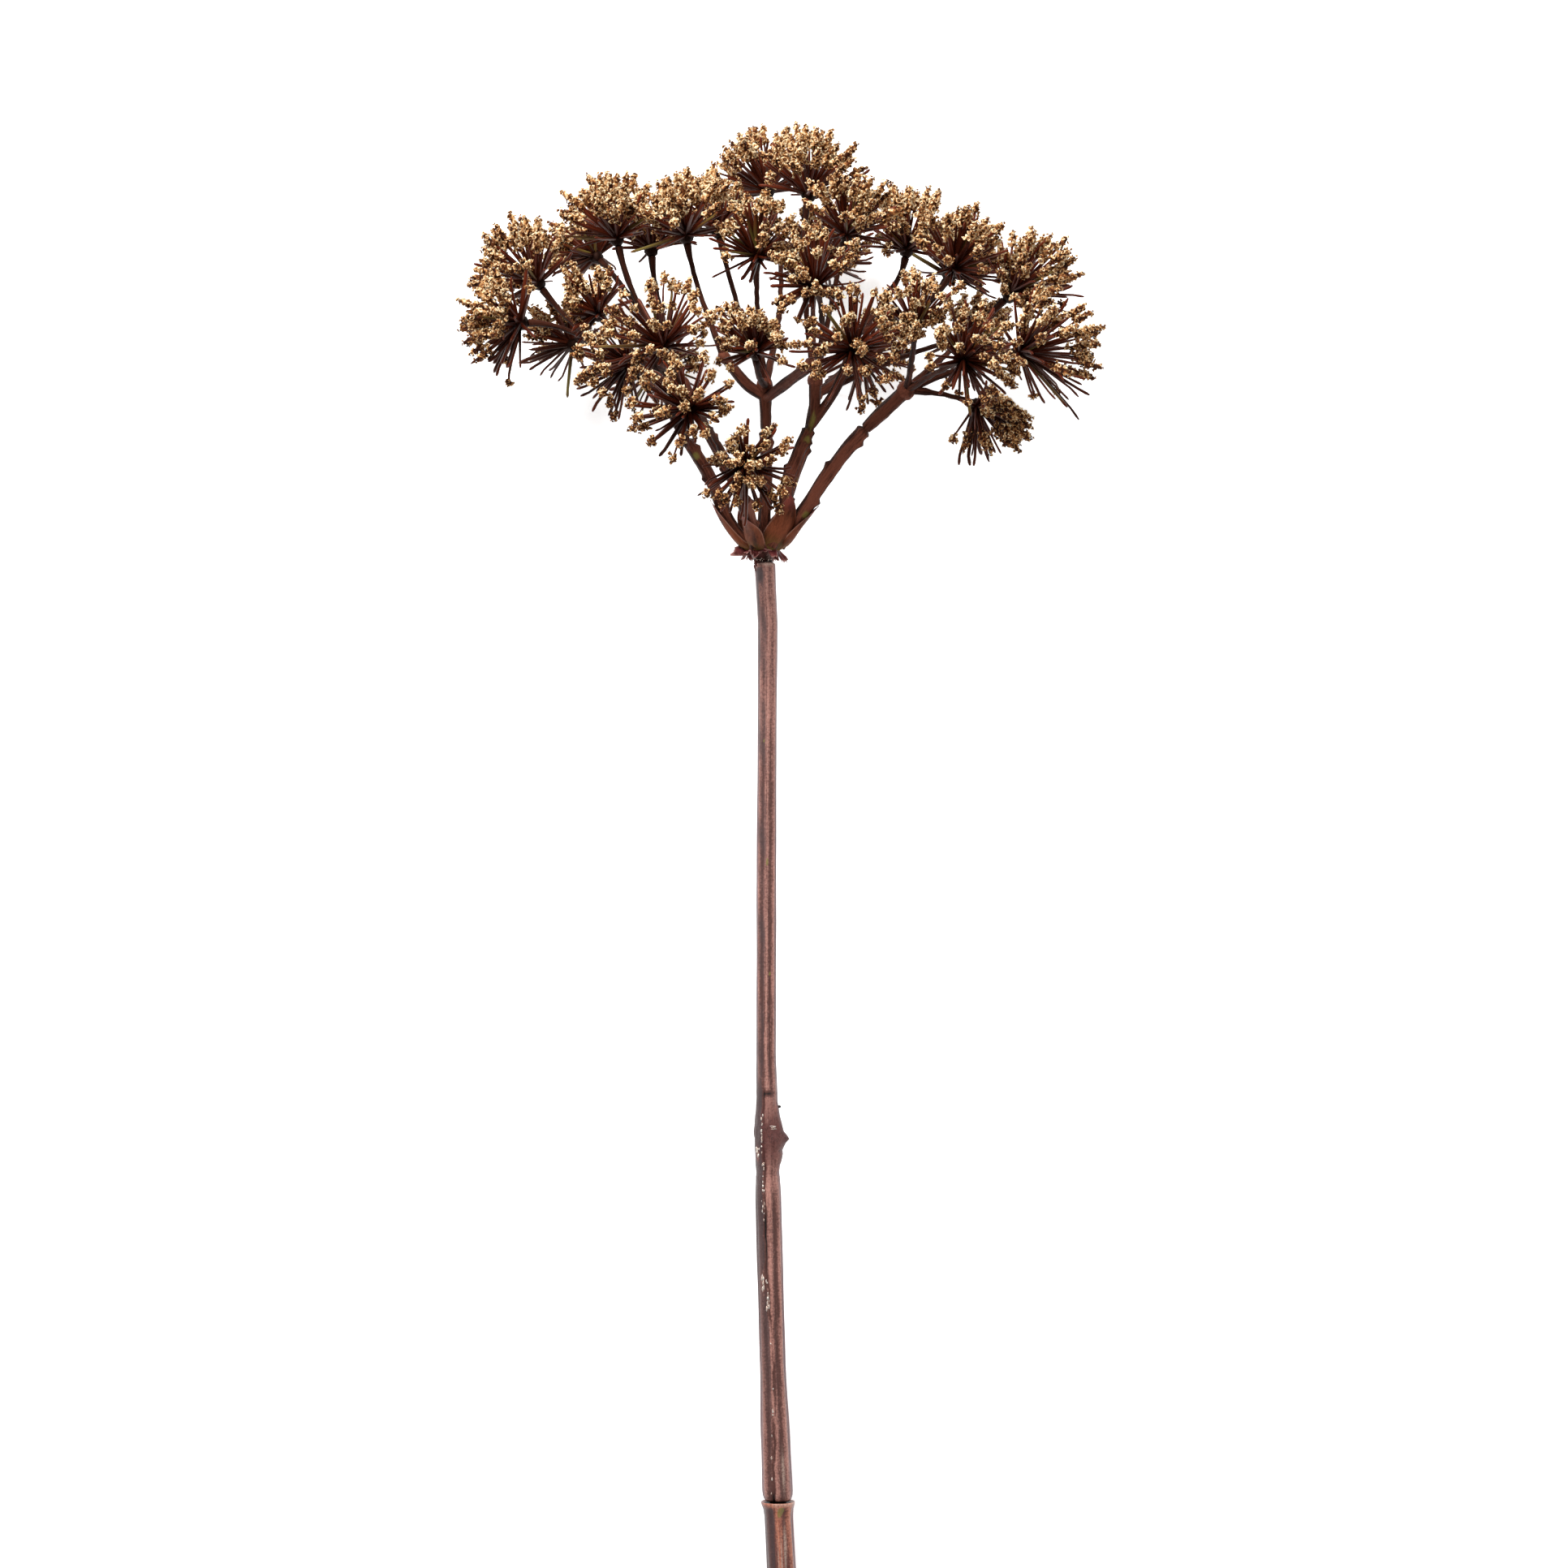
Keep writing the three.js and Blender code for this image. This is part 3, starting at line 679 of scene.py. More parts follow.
class Wire:
    """A socket of a finish. Sums and products of wires and numbers add the nodes that work them out."""

    def __init__(self, finish, socket):
        self.finish, self.socket = finish, socket

    def worked(self, operation, *values):
        return self.finish.node("ShaderNodeMath", {"operation": operation}, dict(enumerate(values)))

    def __add__(self, other):
        return self.worked("ADD", self, other)

    def __radd__(self, other):
        return self.worked("ADD", other, self)

    def __sub__(self, other):
        return self.worked("SUBTRACT", self, other)

    def __rsub__(self, other):
        return self.worked("SUBTRACT", other, self)

    def __mul__(self, other):
        return self.worked("MULTIPLY", self, other)

    def __rmul__(self, other):
        return self.worked("MULTIPLY", other, self)

    def size(self):
        """The value without its sign."""
        return self.worked("ABSOLUTE", self)

    def above(self, low, high):
        """0 below one value, 1 above another, and smooth between them."""
        values = {"Value": self, "From Min": low, "From Max": high}
        return self.finish.node("ShaderNodeMapRange", {"interpolation_type": "SMOOTHSTEP"}, values)


class Finish:
    """A material, and the nodes in it."""

    def __init__(self, name, **constants):
        self.material = bpy.data.materials.new(name)
        self.material.use_nodes = True
        self.tree = self.material.node_tree
        self.shader = self.tree.nodes["Principled BSDF"]
        for socket, value in constants.items():
            self.join(self.shader.inputs[socket.replace("_", " ")], value)

    def node(self, kind, settings, inputs, output=0):
        """A node of a kind, with its settings and the values or wires of its sockets, as a wire from it."""
        made = self.tree.nodes.new(kind)
        for key, value in settings.items():
            if key == "stops":
                ramp = made.color_ramp
                while len(ramp.elements) < len(value):
                    ramp.elements.new(0.5)
                for element, (place, shade) in zip(ramp.elements, value):
                    element.position, element.color = place, (*shade, 1)
            else:
                setattr(made, key, value)
        for socket, value in inputs.items():
            self.join(made.inputs[socket], value)
        return Wire(self, made.outputs[output])

    def join(self, socket, value):
        """Gives a socket a wire, a number, a vector or a colour."""
        if isinstance(value, Wire):
            self.tree.links.new(value.socket, socket)
        else:
            socket.default_value = (*value, 1) if socket.type == "RGBA" else value

    def mix(self, factor, low, high):
        """A colour between two."""
        return self.node("ShaderNodeMix", {"data_type": "RGBA"}, {0: factor, 6: low, 7: high}, 2)

    def stretched(self, vector, scale):
        return self.node("ShaderNodeVectorMath", {"operation": "MULTIPLY"}, {0: vector, 1: scale})

    def read(self, name, output):
        """What the skin says at each of its points."""
        return self.node("ShaderNodeAttribute", {"attribute_name": name}, {}, output)

    def tint(self, part):
        """One of the four masks of the skin's tint."""
        if part == 3:
            return self.read("tint", "Alpha")
        return self.node("ShaderNodeSeparateColor", {}, {"Color": self.read("tint", "Color")}, part)

    def grain(self, scale, *detail):
        """Streaks that follow a stalk."""
        return self.noise(self.stretched(self.read("grain", "Vector"), scale), *detail)

    def across(self):
        """How far to its left or right a place on a stalk is, from 0 in its middle to 1 at its sides."""
        values = {0: self.read("grain", "Vector"), 1: (1, 0, 0)}
        return self.node("ShaderNodeVectorMath", {"operation": "DOT_PRODUCT"}, values, "Value").size()

    def speckle(self, *detail, scale=(1, 1, 1)):
        """Noise through the whole object, the same in every direction unless it is stretched."""
        place = self.node("ShaderNodeTexCoord", {}, {}, "Object")
        return self.noise(self.stretched(place, scale), *detail)

    def noise(self, vector, scale, detail, roughness=0.55):
        values = {"Vector": vector, "Scale": scale, "Detail": detail, "Roughness": roughness}
        return self.node("ShaderNodeTexNoise", {}, values)

    def finished(self, base, roughness, height, strength, distance):
        """Joins the colour, roughness and relief to the shader, and gives the material."""
        relief = {"Height": height, "Strength": strength, "Distance": distance}
        inputs = {"Base Color": base, "Roughness": roughness, "Normal": self.node("ShaderNodeBump", {}, relief)}
        for socket, value in inputs.items():
            self.join(self.shader.inputs[socket], value)
        return self.material


# The tint of the gloss on dark bark.
REDDISH = (1, 0.5, 0.36)
# The brightest colour of the dried glue, painted pale as highlight for its glints.
PAINTED_GLINT = (0.9, 0.84, 0.76)


def floret_finish(colours):
    """Crumbly dry petals: tan, with cream rims painted paler still as highlight, and painted shade in their
    hearts, bases and creases.
    """
    finish = Finish("dry_petals", Specular_IOR_Level=0.15)
    own, outward = finish.tint(0), finish.tint(1)
    fine, crumbs = finish.speckle(900, 3), finish.speckle(2200, 2)
    # The rim mask paints shade at the petal bases and creases and highlight at the rims; own, lighter on
    # florets that point up the flower, is painted light from above; the noise makes it crumbly.
    tone = outward * 0.8 + own * 0.36 + fine * 0.5 + crumbs * 0.45 - 0.78
    shades = (colours.floret_crevice_shadow, colours.floret_painted_shade, colours.floret, colours.floret_rim_and_highlight)
    stops = tuple(zip((0.04, 0.27, 0.48, 0.74), shades))
    base = finish.node("ShaderNodeValToRGB", {"stops": stops}, {0: tone})
    return finish.finished(base, 0.62 + fine * 0.2, fine + crumbs * 0.5, 0.6, 0.0004)


def pedicel_finish(colours):
    """Thin glossy stalks, dark red-brown, with a few left green; painted darker near the hub as shade and
    lighter where they point up the flower as painted light.
    """
    finish = Finish("pedicel_brown", Specular_IOR_Level=0.3, Specular_Tint=REDDISH)
    own, along, green = (finish.tint(part) for part in range(3))
    streaks = finish.grain((1.6, 1.6, 0.35), 2.2, 3)
    # along rises away from the hub, so the stalks are painted darker near it as shade.
    tone = own * 0.45 + streaks * 0.6 + along * 0.35 - 0.28
    brown = finish.mix(tone.above(0.1, 0.95), colours.pedicel_dark_and_shade, colours.pedicel)
    base = finish.mix(green, brown, colours.green_left)
    return finish.finished(base, 0.25 + streaks * 0.25, streaks, 0.25, 0.0002)


def bark_finish(colours):
    """The branches: dark red-brown, painted darker towards their sides as shade, greyer and darker along the
    thin rays, orange-brown at their sheaths.
    """
    finish = Finish("branch_bark", Specular_IOR_Level=0.12, Specular_Tint=REDDISH)
    own, ray, sheath, left = (finish.tint(part) for part in range(4))
    streaks = finish.grain((1.3, 1.3, 0.5), 2.6, 4)
    patches = finish.speckle(70, 2)
    fine = finish.grain((2.0, 2.0, 1.2), 9, 2)
    seam, side = finish.across().above(0.985, 0.996), finish.across().above(0.6, 1.0)
    # side paints each limb darker towards two opposite sides, as painted shade on its edges.
    tone = (streaks * 1.3 + patches * 0.9 + fine * 0.5 + own * 0.2 - side * 0.45 - 1.0).above(0.1, 0.65)
    thick = finish.mix(tone, colours.branch_dark_and_shade, colours.branch)
    wood = finish.mix(ray, thick, finish.mix(tone, colours.ray_dark_and_shade, colours.ray))
    mottled = (streaks * 0.9 + patches * 1.2 + fine * 0.5 - 0.95).above(0.0, 0.7)
    leafy = finish.mix(mottled, colours.sheath_dark, colours.sheath)
    tipped = finish.mix(own.above(0.7, 1.0) * 0.5, leafy, colours.bract)
    green = (patches + own * 0.08).above(0.74, 0.78) * (1 - ray) * (1 - sheath) + left
    browned = finish.mix(sheath.above(0.0, 1.0), wood, tipped)
    # A pale line along the very edge of each limb, and along the sheaths' torn edges.
    lined = finish.mix(seam * patches * (1 - ray) + sheath.above(1.1, 1.5) * patches, browned, colours.seam)
    base = finish.mix(green.above(0.0, 1.2) * 0.8, lined, colours.green_left)
    return finish.finished(base, 0.42 + fine * 0.3, streaks + fine * 0.5, 0.6, 0.0006)


def hub_finish(colours):
    """The near-black knots where pedicels meet."""
    finish = Finish("hub_black", Specular_IOR_Level=0.2, Specular_Tint=REDDISH)
    rough = finish.speckle(500, 3)
    base = finish.mix(rough, colours.hub, colours.pedicel_dark_and_shade)
    return finish.finished(base, 0.5 + rough * 0.2, rough, 0.5, 0.0006)


def stem_finish(colours, name, pale, dark, gloss):
    """Ribbed leathery stalk: red-brown ribs over grooves painted darker as shade, painted mauve shade at its
    sides, pale specks and scuffs, and painted highlights.
    """
    finish = Finish(name, Specular_IOR_Level=0.4, Coat_Weight=gloss, Coat_Roughness=0.3)
    groove, worn, knot, green = (finish.tint(part) for part in range(4))
    streaks = finish.grain((2.6, 2.6, 0.22), 3, 5, 0.6)
    threads = finish.grain((6.0, 6.0, 0.3), 4, 3)
    pits = finish.grain((2.2, 2.2, 1.3), 7, 2, 0.7)
    blotches, mottle = finish.speckle(70, 3), finish.speckle(1300, 3, 0.7)
    rough = streaks * 0.8 + threads * 0.25 + blotches * 0.3 + mottle * 0.9 + pits * 0.2
    # The grooves are painted darker, as painted shade, on top of the dark streaks.
    ribbed = finish.mix((rough - groove * 0.45 - 0.78).above(0.0, 0.66), dark, pale)
    # The stem's left and right sides, as it lies, are painted mauve-grey as painted shade.
    mauve = finish.mix(finish.across().above(0.72, 1.0) * 0.75, ribbed, colours.stem_edge_shade)
    specks = (pits + threads * 0.4 - groove * 0.3).above(0.76, 0.88) * 0.4 * (1 - knot)
    # Pale where the stalk is worn, and where painted highlight is laid on it.
    rubbed_and_lit = worn.above(0.0, 1.0) * (mottle + 0.05).above(0.3, 0.6) * 0.7
    scuffed_and_lit = finish.mix(specks + rubbed_and_lit, mauve, colours.stem_speck_and_highlight)
    knotty = finish.mix(knot * (0.5 + 0.4 * blotches + 0.4 * mottle), scuffed_and_lit, colours.stem_knot)
    wrinkles = finish.speckle(520, 4, 0.5, scale=(1, 0.6, 1))
    folds = (1 - (wrinkles - 0.5).size().above(0.0, 0.05)) * pits.above(0.42, 0.6)
    veined = finish.mix(folds * knot.above(0.3, 0.9) * 0.75, knotty, colours.hub)
    stained = finish.mix((0 - worn).above(0.0, 0.9), veined, colours.stem_stain)
    # Where the groove mask passes 1 the stalk is painted black: painted shadow in the crack, the creases, the
    # gap at the joint and the foot's hollow, and the neck under the collar.
    crack_shadowed = finish.mix(groove.above(1.0, 1.9), stained, colours.hub)
    base = finish.mix(green.above(0.25, 0.6) * (0.5 + 0.5 * blotches), crack_shadowed, colours.green_left)
    relief = streaks * 0.5 + threads * 0.2 + pits * 0.4 + mottle * 0.8
    return finish.finished(base, 0.36 + streaks * 0.25, relief, 0.6, 0.0006)


def glue_finish(colours):
    """Dried glue, glossy and half metallic, painted pale silver in patches as highlight for its glints."""
    finish = Finish("dried_glue", Specular_IOR_Level=0.8, Metallic=0.5)
    rough = finish.speckle(800, 2)
    base = finish.mix(rough.above(0.3, 0.7), colours.stem_speck_and_highlight, PAINTED_GLINT)
    return finish.finished(base, 0.2 + rough * 0.2, rough, 0.6, 0.0004)


def bract_finish(colours):
    """Papery maroon bracts, paler at their torn edges, dark and shiny where they are glued."""
    finish = Finish("bract_maroon", Specular_IOR_Level=0.35, Specular_Tint=REDDISH)
    edge, glue = finish.tint(1), finish.tint(2)
    fibres, blotches = finish.speckle(600, 3, scale=(1, 0.3, 1)), finish.speckle(220, 2)
    papery = finish.mix((blotches * 0.9 + fibres * 0.4).above(0.4, 0.9), colours.bract_dark, colours.bract)
    torn = finish.mix((edge + fibres * 0.4 - 0.3).above(0.2, 0.9), papery, colours.bract_edge)
    glued = finish.mix(glue, torn, colours.hub)
    return finish.finished(glued, 0.55 - glue * 0.3, fibres + blotches, 0.5, 0.0005)


# ---------------------------------------------------------------- stem


def fine_rows(rows, step):
    """Rows of a profile with more between them, eased, where they are far apart."""
    found = [rows[0]]
    for (y0, r0, g0), (y1, r1, g1) in zip(rows, rows[1:]):
        count = max(1, int(abs(y1 - y0) / step))
        for share in (i / count for i in range(1, count + 1)):
            eased = share if count < 4 else share * share * (3 - 2 * share)
            found.append((y0 + (y1 - y0) * share, r0 + (r1 - r0) * eased, g0 + (g1 - g0) * share))
    return found


def bud_reach(y, around, middle):
    """How far the bud at the stem's node reaches from the stem's middle, by height and angle."""
    radius = np.interp(y, *zip(*BUD))
    across, up = BUD_MIDDLE[0] - middle, BUD_MIDDLE[1]
    inward = across * np.sin(around) + up * np.cos(around)
    square = radius**2 - (across**2 + up**2 - inward**2)
    return np.where(square > 0, inward + np.sqrt(np.maximum(square, 0)), 0)


class Stalk:
    """The surface of a ribbed stalk as a grid of heights by angles, with the masks that colour it.

    A groove is painted darker as shade from 0 to 1, and black at 2; worn is pale above 0, for wear and for
    painted highlight, and stained below it.
    """

    def __init__(self, rows, sizes):
        self.sides = 12 * STEM_RIBS
        self.y, self.radius, depth = columns(fine_rows(rows, sizes.stem_step))
        self.around = steps_round(self.sides)
        sway = 0.25 * np.sin(self.y / 31) + 0.12 * np.sin(self.y / 11 + 2)
        faded = np.interp(self.y, (-240, -229, -200, -188, -110, -30), (1.0, 0.3, 0.3, 1.0, 1.0, 0.45))
        # How far down a rib groove each place is; the finish paints the grooves darker as painted shade.
        self.groove = (0.5 - 0.5 * np.cos(STEM_RIBS * (self.around + sway * depth))) * (depth > 0.03) * faded
        ridges = np.abs(np.sin(11 * self.around + 3 * np.sin(self.y / 40))) * (depth > 0.05)
        ripple = (1 + np.sin(self.y / 5 + 4 * self.around)) * (depth > 0.03)
        self.reach = self.radius * (0.994 - depth * self.groove**1.5 - 0.014 * ridges - 0.006 * ripple)
        self.worn, self.knot, self.green = (np.zeros_like(self.reach) for _ in range(3))
        self.bark = self.radius > 3.5

    def swing(self, turn):
        """How far round each place is from an angle."""
        return swing(self.around, turn)

    def spot(self, height, degrees, tall, wide):
        """1 at a place on the stalk, falling to 0 round it."""
        turn = math.radians(degrees)
        return np.exp(-(((self.y - height) / tall) ** 2) - (self.swing(turn) / wide) ** 2)

    def place(self, height, turn, lift):
        """A point over the surface."""
        row = np.abs(self.y[:, 0] - height).argmin()
        side = int(round(turn / (2 * math.pi) * self.sides)) % self.sides
        return sideways(turn, self.reach[row, side] + lift) + (stem_middle(height), height, 0)

    def skin(self):
        """The stalk's surface as a skin."""
        sine, cosine = np.sin(self.around), np.cos(self.around)
        skin = Skin()
        points = grid(self.reach * sine + stem_middle(self.y), self.y, self.reach * cosine)
        tint = grid(self.groove, np.clip(self.worn, -1, 1), self.knot, self.green)
        skin.add(points, grid_faces(len(self.y), self.sides), 0, tint, grid(sine, cosine, self.y / 10))
        return skin


def add_crack(stalk):
    """The deepest groove, which wanders down the lower half of the stem."""
    y = stalk.y
    wobble = 2.2 * np.sin(y / 2.3) + 1.6 * np.sin(y / 0.9 + 1)
    off = stalk.swing(np.radians(np.interp(y, *zip(*CRACK)) + wobble))
    deep = np.interp(y, (-349, -335, -300, -262, -205, -190), (1.1, 0.8, 0.5, 0.75, 0.7, 0)) * stalk.bark
    deep = deep * (0.75 + 0.35 * np.sin(y / 4.1))
    crack = hump(off, 0.09 + 0.03 * np.sin(y / 3.3))
    stalk.reach -= deep * crack
    # The crack is painted darker, to black where it is deep, as painted shadow in it.
    stalk.groove += 1.2 * crack * np.minimum(deep * 1.5, 1)
    left = np.clip(-(off + 0.12) / 0.12, 0, 1) * (off > -1.6)
    stalk.worn -= left * np.interp(y, (-345, -290, -240, -200, -185), (0.15, 0.5, 0.8, 0.8, 0))


def add_node(stalk, rng):
    """The bud at the stem's node, the point of the lost leaf, and the scars and cracks round them."""
    y, around, bark = stalk.y, stalk.around, stalk.bark
    bud = bud_reach(y, around, stem_middle(y))
    stalk.reach = (stalk.reach + bud + np.sqrt((stalk.reach - bud) ** 2 + 0.5 * (bud > 0))) / 2
    stalk.knot = hump(y - NODE, 14) * (0.75 + 0.25 * (bud > 0))
    lumps = np.sin(y / 1.3 + 3 * around) * np.sin(y / 2.9 - 4 * around)
    stalk.reach += 0.16 * lumps * stalk.knot * bark
    for lift, *place in (
        (1.5, LEAF_SCAR, 82, 1.5, 0.22),
        (-0.5, LEAF_SCAR - 4.5, 70, 0.9, 0.5),
        (0.35, -204, 60, 1.0, 0.2),
    ):
        stalk.reach += lift * bark * stalk.spot(*place)
    for _ in range(40):
        height, degrees = rng.uniform(-230, -190), rng.uniform(0, 360)
        scar = stalk.spot(height, degrees, rng.uniform(0.6, 2.2), rng.uniform(0.06, 0.2)) * bark
        stalk.reach += rng.uniform(-0.4, 0.25) * scar
        stalk.worn += 0.5 * scar * rng.integers(0, 2)
    crease = hump(y - CREASE - 0.5 * np.sin(3 * around), 0.8)
    crease = crease * np.clip(1.3 - np.abs(stalk.swing(0.1)) / 0.7, 0, 1) * bark
    fold = hump(y - FOLD + 0.8 * np.sin(2 * around), 0.6) * bark
    stalk.reach -= 0.2 * crease + 0.3 * fold
    # The crease is painted black and the fold darker, as painted shadow in them.
    stalk.groove += 1.7 * crease + 0.3 * fold


def add_two_tones(stalk):
    """The upper half of the stem: dark and stained to the left of a fine groove, pale to its right."""
    y = stalk.y
    degrees = np.interp(y, (-190, -120, -50, -3), (-12, 2, -5, 0)) + 2 * np.sin(y / 9)
    off = stalk.swing(np.radians(degrees))
    upper = np.interp(y, (-205, -185, -6, -3), (0, 1, 1, 0.5))
    left = np.clip(-off / 0.1, 0, 1) * np.clip((off + 1.7) / 0.4, 0, 1)
    patchy = 0.7 + 0.2 * np.sin(y / 6) + 0.15 * np.sin(y / 2.6 + 4 * stalk.around)
    stalk.worn += upper * (0.3 * hump(off - 0.1, 0.05) - 0.62 * left * patchy)
    stalk.groove += 0.5 * upper * hump(off, 0.045)
    for stain in STEM_STAINS:
        stalk.worn -= 0.7 * stalk.spot(*stain)


def add_glue(skin, stalk, height, degrees, tall, wide, rng):
    """A drop of dried glue on the stem."""
    turn = math.radians(degrees)
    out = sideways(turn)
    frame = np.stack((np.cross(UP, out), UP, out), axis=1)
    seed = int(rng.integers(0, 9999))
    tint = (rng.random(), 0, 0, 0)
    add_ball(skin, stalk.place(height, turn, -0.05), (wide, tall, 0.28), 1, tint, 4, 7, 0.7, seed, frame)


def stem_skin(sizes):
    """The stem, with its node, its wandering crack, drops of dried glue and a little green."""
    rng = np.random.default_rng(3)
    stalk = Stalk(STEM_ROWS, sizes)
    add_node(stalk, rng)
    add_crack(stalk)
    stalk.worn += 0.9 * hump(stalk.y + 3.1, 0.5) * stalk.bark
    # Black above the cut end, where the stem goes into the collar's neck, and below the joint, as painted
    # shadow in the gap over the foot's rim.
    stalk.groove = np.where((stalk.y > -2.6) | (stalk.y < JOINT + 0.3), 2.0, stalk.groove)
    for patch in STEM_GREEN:
        stalk.green += stalk.spot(*patch)
    add_two_tones(stalk)
    for height, degrees, tall, wide in GLUE:
        stalk.worn += 0.9 * stalk.spot(height, degrees, tall * 1.2, wide * 0.2)
    # A grainy streak of painted highlight on the right of the stem, near the joint.
    stalk.worn += 0.9 * stalk.spot(*STEM_PAINTED_HIGHLIGHT)
    skin = stalk.skin()
    for height, degrees, tall, wide in GLUE:
        for _ in range(9):
            at, turn = height + rng.uniform(-tall, tall), degrees + rng.uniform(-9, 9)
            add_glue(skin, stalk, at, turn, rng.uniform(0.15, 0.4) * tall, rng.uniform(0.25, 0.6) * wide, rng)
    # Small pale beads of dried glue along the crack, which also stand in for its glints as painted highlight.
    for at in np.append(rng.uniform(-346, -235, 16), rng.uniform(-236, -206, 26)):
        turn = np.interp(at, *zip(*CRACK)) + rng.uniform(-12, -5)
        add_glue(skin, stalk, at, turn, rng.uniform(0.25, 0.7), rng.uniform(0.15, 0.35), rng)
    nub = stalk.place(-203.5, math.radians(84), 0.1)
    add_ball(skin, nub, (0.7, 0.5, 0.5), 0, (1.7, 0, 0, 0), 5, 8, 0.3, 4)
    return skin


def foot_skin(sizes):
    """The foot that the stem is plugged into: a cut tube with a flared, paler rim and a green patch."""
    rng = np.random.default_rng(4)
    stalk = Stalk(FOOT_ROWS, sizes)
    stalk.worn += 0.8 * hump(stalk.y - JOINT + 1.0, 0.6)
    for patch in FOOT_GREEN:
        stalk.green += stalk.spot(*patch)
    # A grainy streak of painted highlight on the right of the foot.
    stalk.worn += 0.9 * stalk.spot(*FOOT_PAINTED_HIGHLIGHT)
    for degrees in (-24, -10, 3, 14, 20):
        line = hump(stalk.swing(math.radians(degrees) + 0.03 * np.sin(stalk.y / 6)), 0.04)
        stalk.worn += line * np.interp(stalk.y, (-368, -358), (1, 0)) * rng.uniform(0.5, 1)
    stalk.worn -= 0.7 * np.clip(-stalk.swing(math.radians(-14)) / 0.2, 0, 1)
    # The socket's inside and the step under the rim are painted black, as painted shadow in the hollow.
    hollow = (stalk.radius < 4) | (np.abs(stalk.y - JOINT + 1.3) < 0.05)
    stalk.groove = np.where(hollow, 2.0, stalk.groove)
    return stalk.skin()


# ---------------------------------------------------------------- collar


def collar_skin():
    """The dark cup under the branches, its glued neck, its pale lip, and the torn bracts round it."""
    skin = Skin()
    sides = 48
    y, radius = columns(CUP_ROWS)
    around = steps_round(sides)
    reach = radius * (1 + 0.035 * np.sin(6 * around) + 0.03 * np.sin(17 * around + 2 * y))
    glue = np.clip(np.interp(y, (-1.5, 0.5, 3, 6), (1.0, 0.75, 0.5, 0.8)) + 0.15 * np.sin(5 * around + y), 0, 1)
    points = grid(reach * np.sin(around), y, reach * np.cos(around))
    skin.add(points, grid_faces(len(y), sides), 0, grid(0, np.clip(y / 8, 0, 1), glue, 0))
    add_lip(skin)
    rng = np.random.default_rng(5)
    for degrees, length, droop, width, twist in BRACTS:
        add_bract(skin, *np.radians((degrees, droop, twist)), length, width, rng)
    for degrees in np.linspace(0, 320, 9) + rng.uniform(-12, 12, 9):
        bent = np.radians((degrees, rng.uniform(60, 88), rng.uniform(-20, 20)))
        add_bract(skin, *bent, rng.uniform(0.8, 1.8), 4.2, rng)
    # Tiny pale glue beads on the front of the neck, put there as painted glints.
    for _ in range(16):
        place = sideways(rng.normal(0, 0.8), 3.5) + (0, rng.uniform(-2, -0.8), 0)
        glint_size = rng.uniform(0.1, 0.32, 3)
        add_ball(skin, place, glint_size, 1, (rng.random(), 0, 0, 0), 3, 6, 0.5, int(rng.integers(0, 999)))
    for degrees, height, size in NECK_BLOBS:
        place = sideways(math.radians(degrees), 3.2) + (0.4, height, 0)
        add_ball(skin, place, (size, size * 1.4, size), 0, (0, 0, 0.7, 0), 7, 11, 0.5, int(height * -10))
    return skin


def add_lip(skin):
    """The ruffled lip round the cup."""
    sides = 72
    around = steps_round(sides)
    share, height = columns(((0, 2.9), (0.5, 2.5), (1, 1.9), (0.6, 1.7), (0.1, 1.6)))
    wave = 0.3 * np.sin(5 * around) + 0.2 * np.sin(13 * around + 1)
    reach = 5.0 + 0.9 * share + share * wave
    height = height + 0.35 * np.sin(4 * around + 2) + share * wave * 0.6
    points = grid(reach * np.sin(around), height, reach * np.cos(around))
    skin.add(points, grid_faces(len(share), sides), 0, grid(0 * around, share**3, 0.3 * (1 - share), 0))


def add_bract(skin, turn, droop, twist, length, width, rng):
    """One torn bract: a curled, twisted blade with a ragged tip, standing out from the cup's side."""
    rows, across = 7, 9
    share = np.linspace(0, 1, rows)[:, None, None]
    side = np.linspace(-1, 1, across)[None, :, None]
    out = np.array((math.cos(turn), 0, math.sin(turn)))
    tangent = np.array((-math.sin(turn), 0, math.cos(turn)))
    widthways = tangent * math.cos(twist) + UP * math.sin(twist)
    forward = unit(out * math.cos(droop) - UP * math.sin(droop))
    normal = np.cross(widthways, forward)
    teeth = rng.uniform(0.7, 1.0, (1, across, 1))
    along = (length + 1.5) * share * (1 - (1 - teeth) * share)
    wide = 0.5 * width * side * (1 - 0.45 * share**1.5)
    wave = (0.5 * np.sin(3.2 * side + 9 * turn) + 0.35 * np.sin(7 * side + twist)) * share + 0.5 * share**2
    edge = np.clip(share**4 + 0.8 * side**6, 0, 1)[..., 0]
    tint = grid(0, edge, 0.5 * (1 - share[..., 0]), 0)
    faces = grid_faces(rows, across, closed=False)
    blade = out * 5.2 + (0, 2.8, 0) + forward * along + widthways * wide
    for under, own_faces in ((0.0, faces[:, ::-1]), (0.22, faces)):
        skin.add(blade + normal * (wave - under * (1 - 0.7 * share)), own_faces, 0, tint)


# ---------------------------------------------------------------- branches


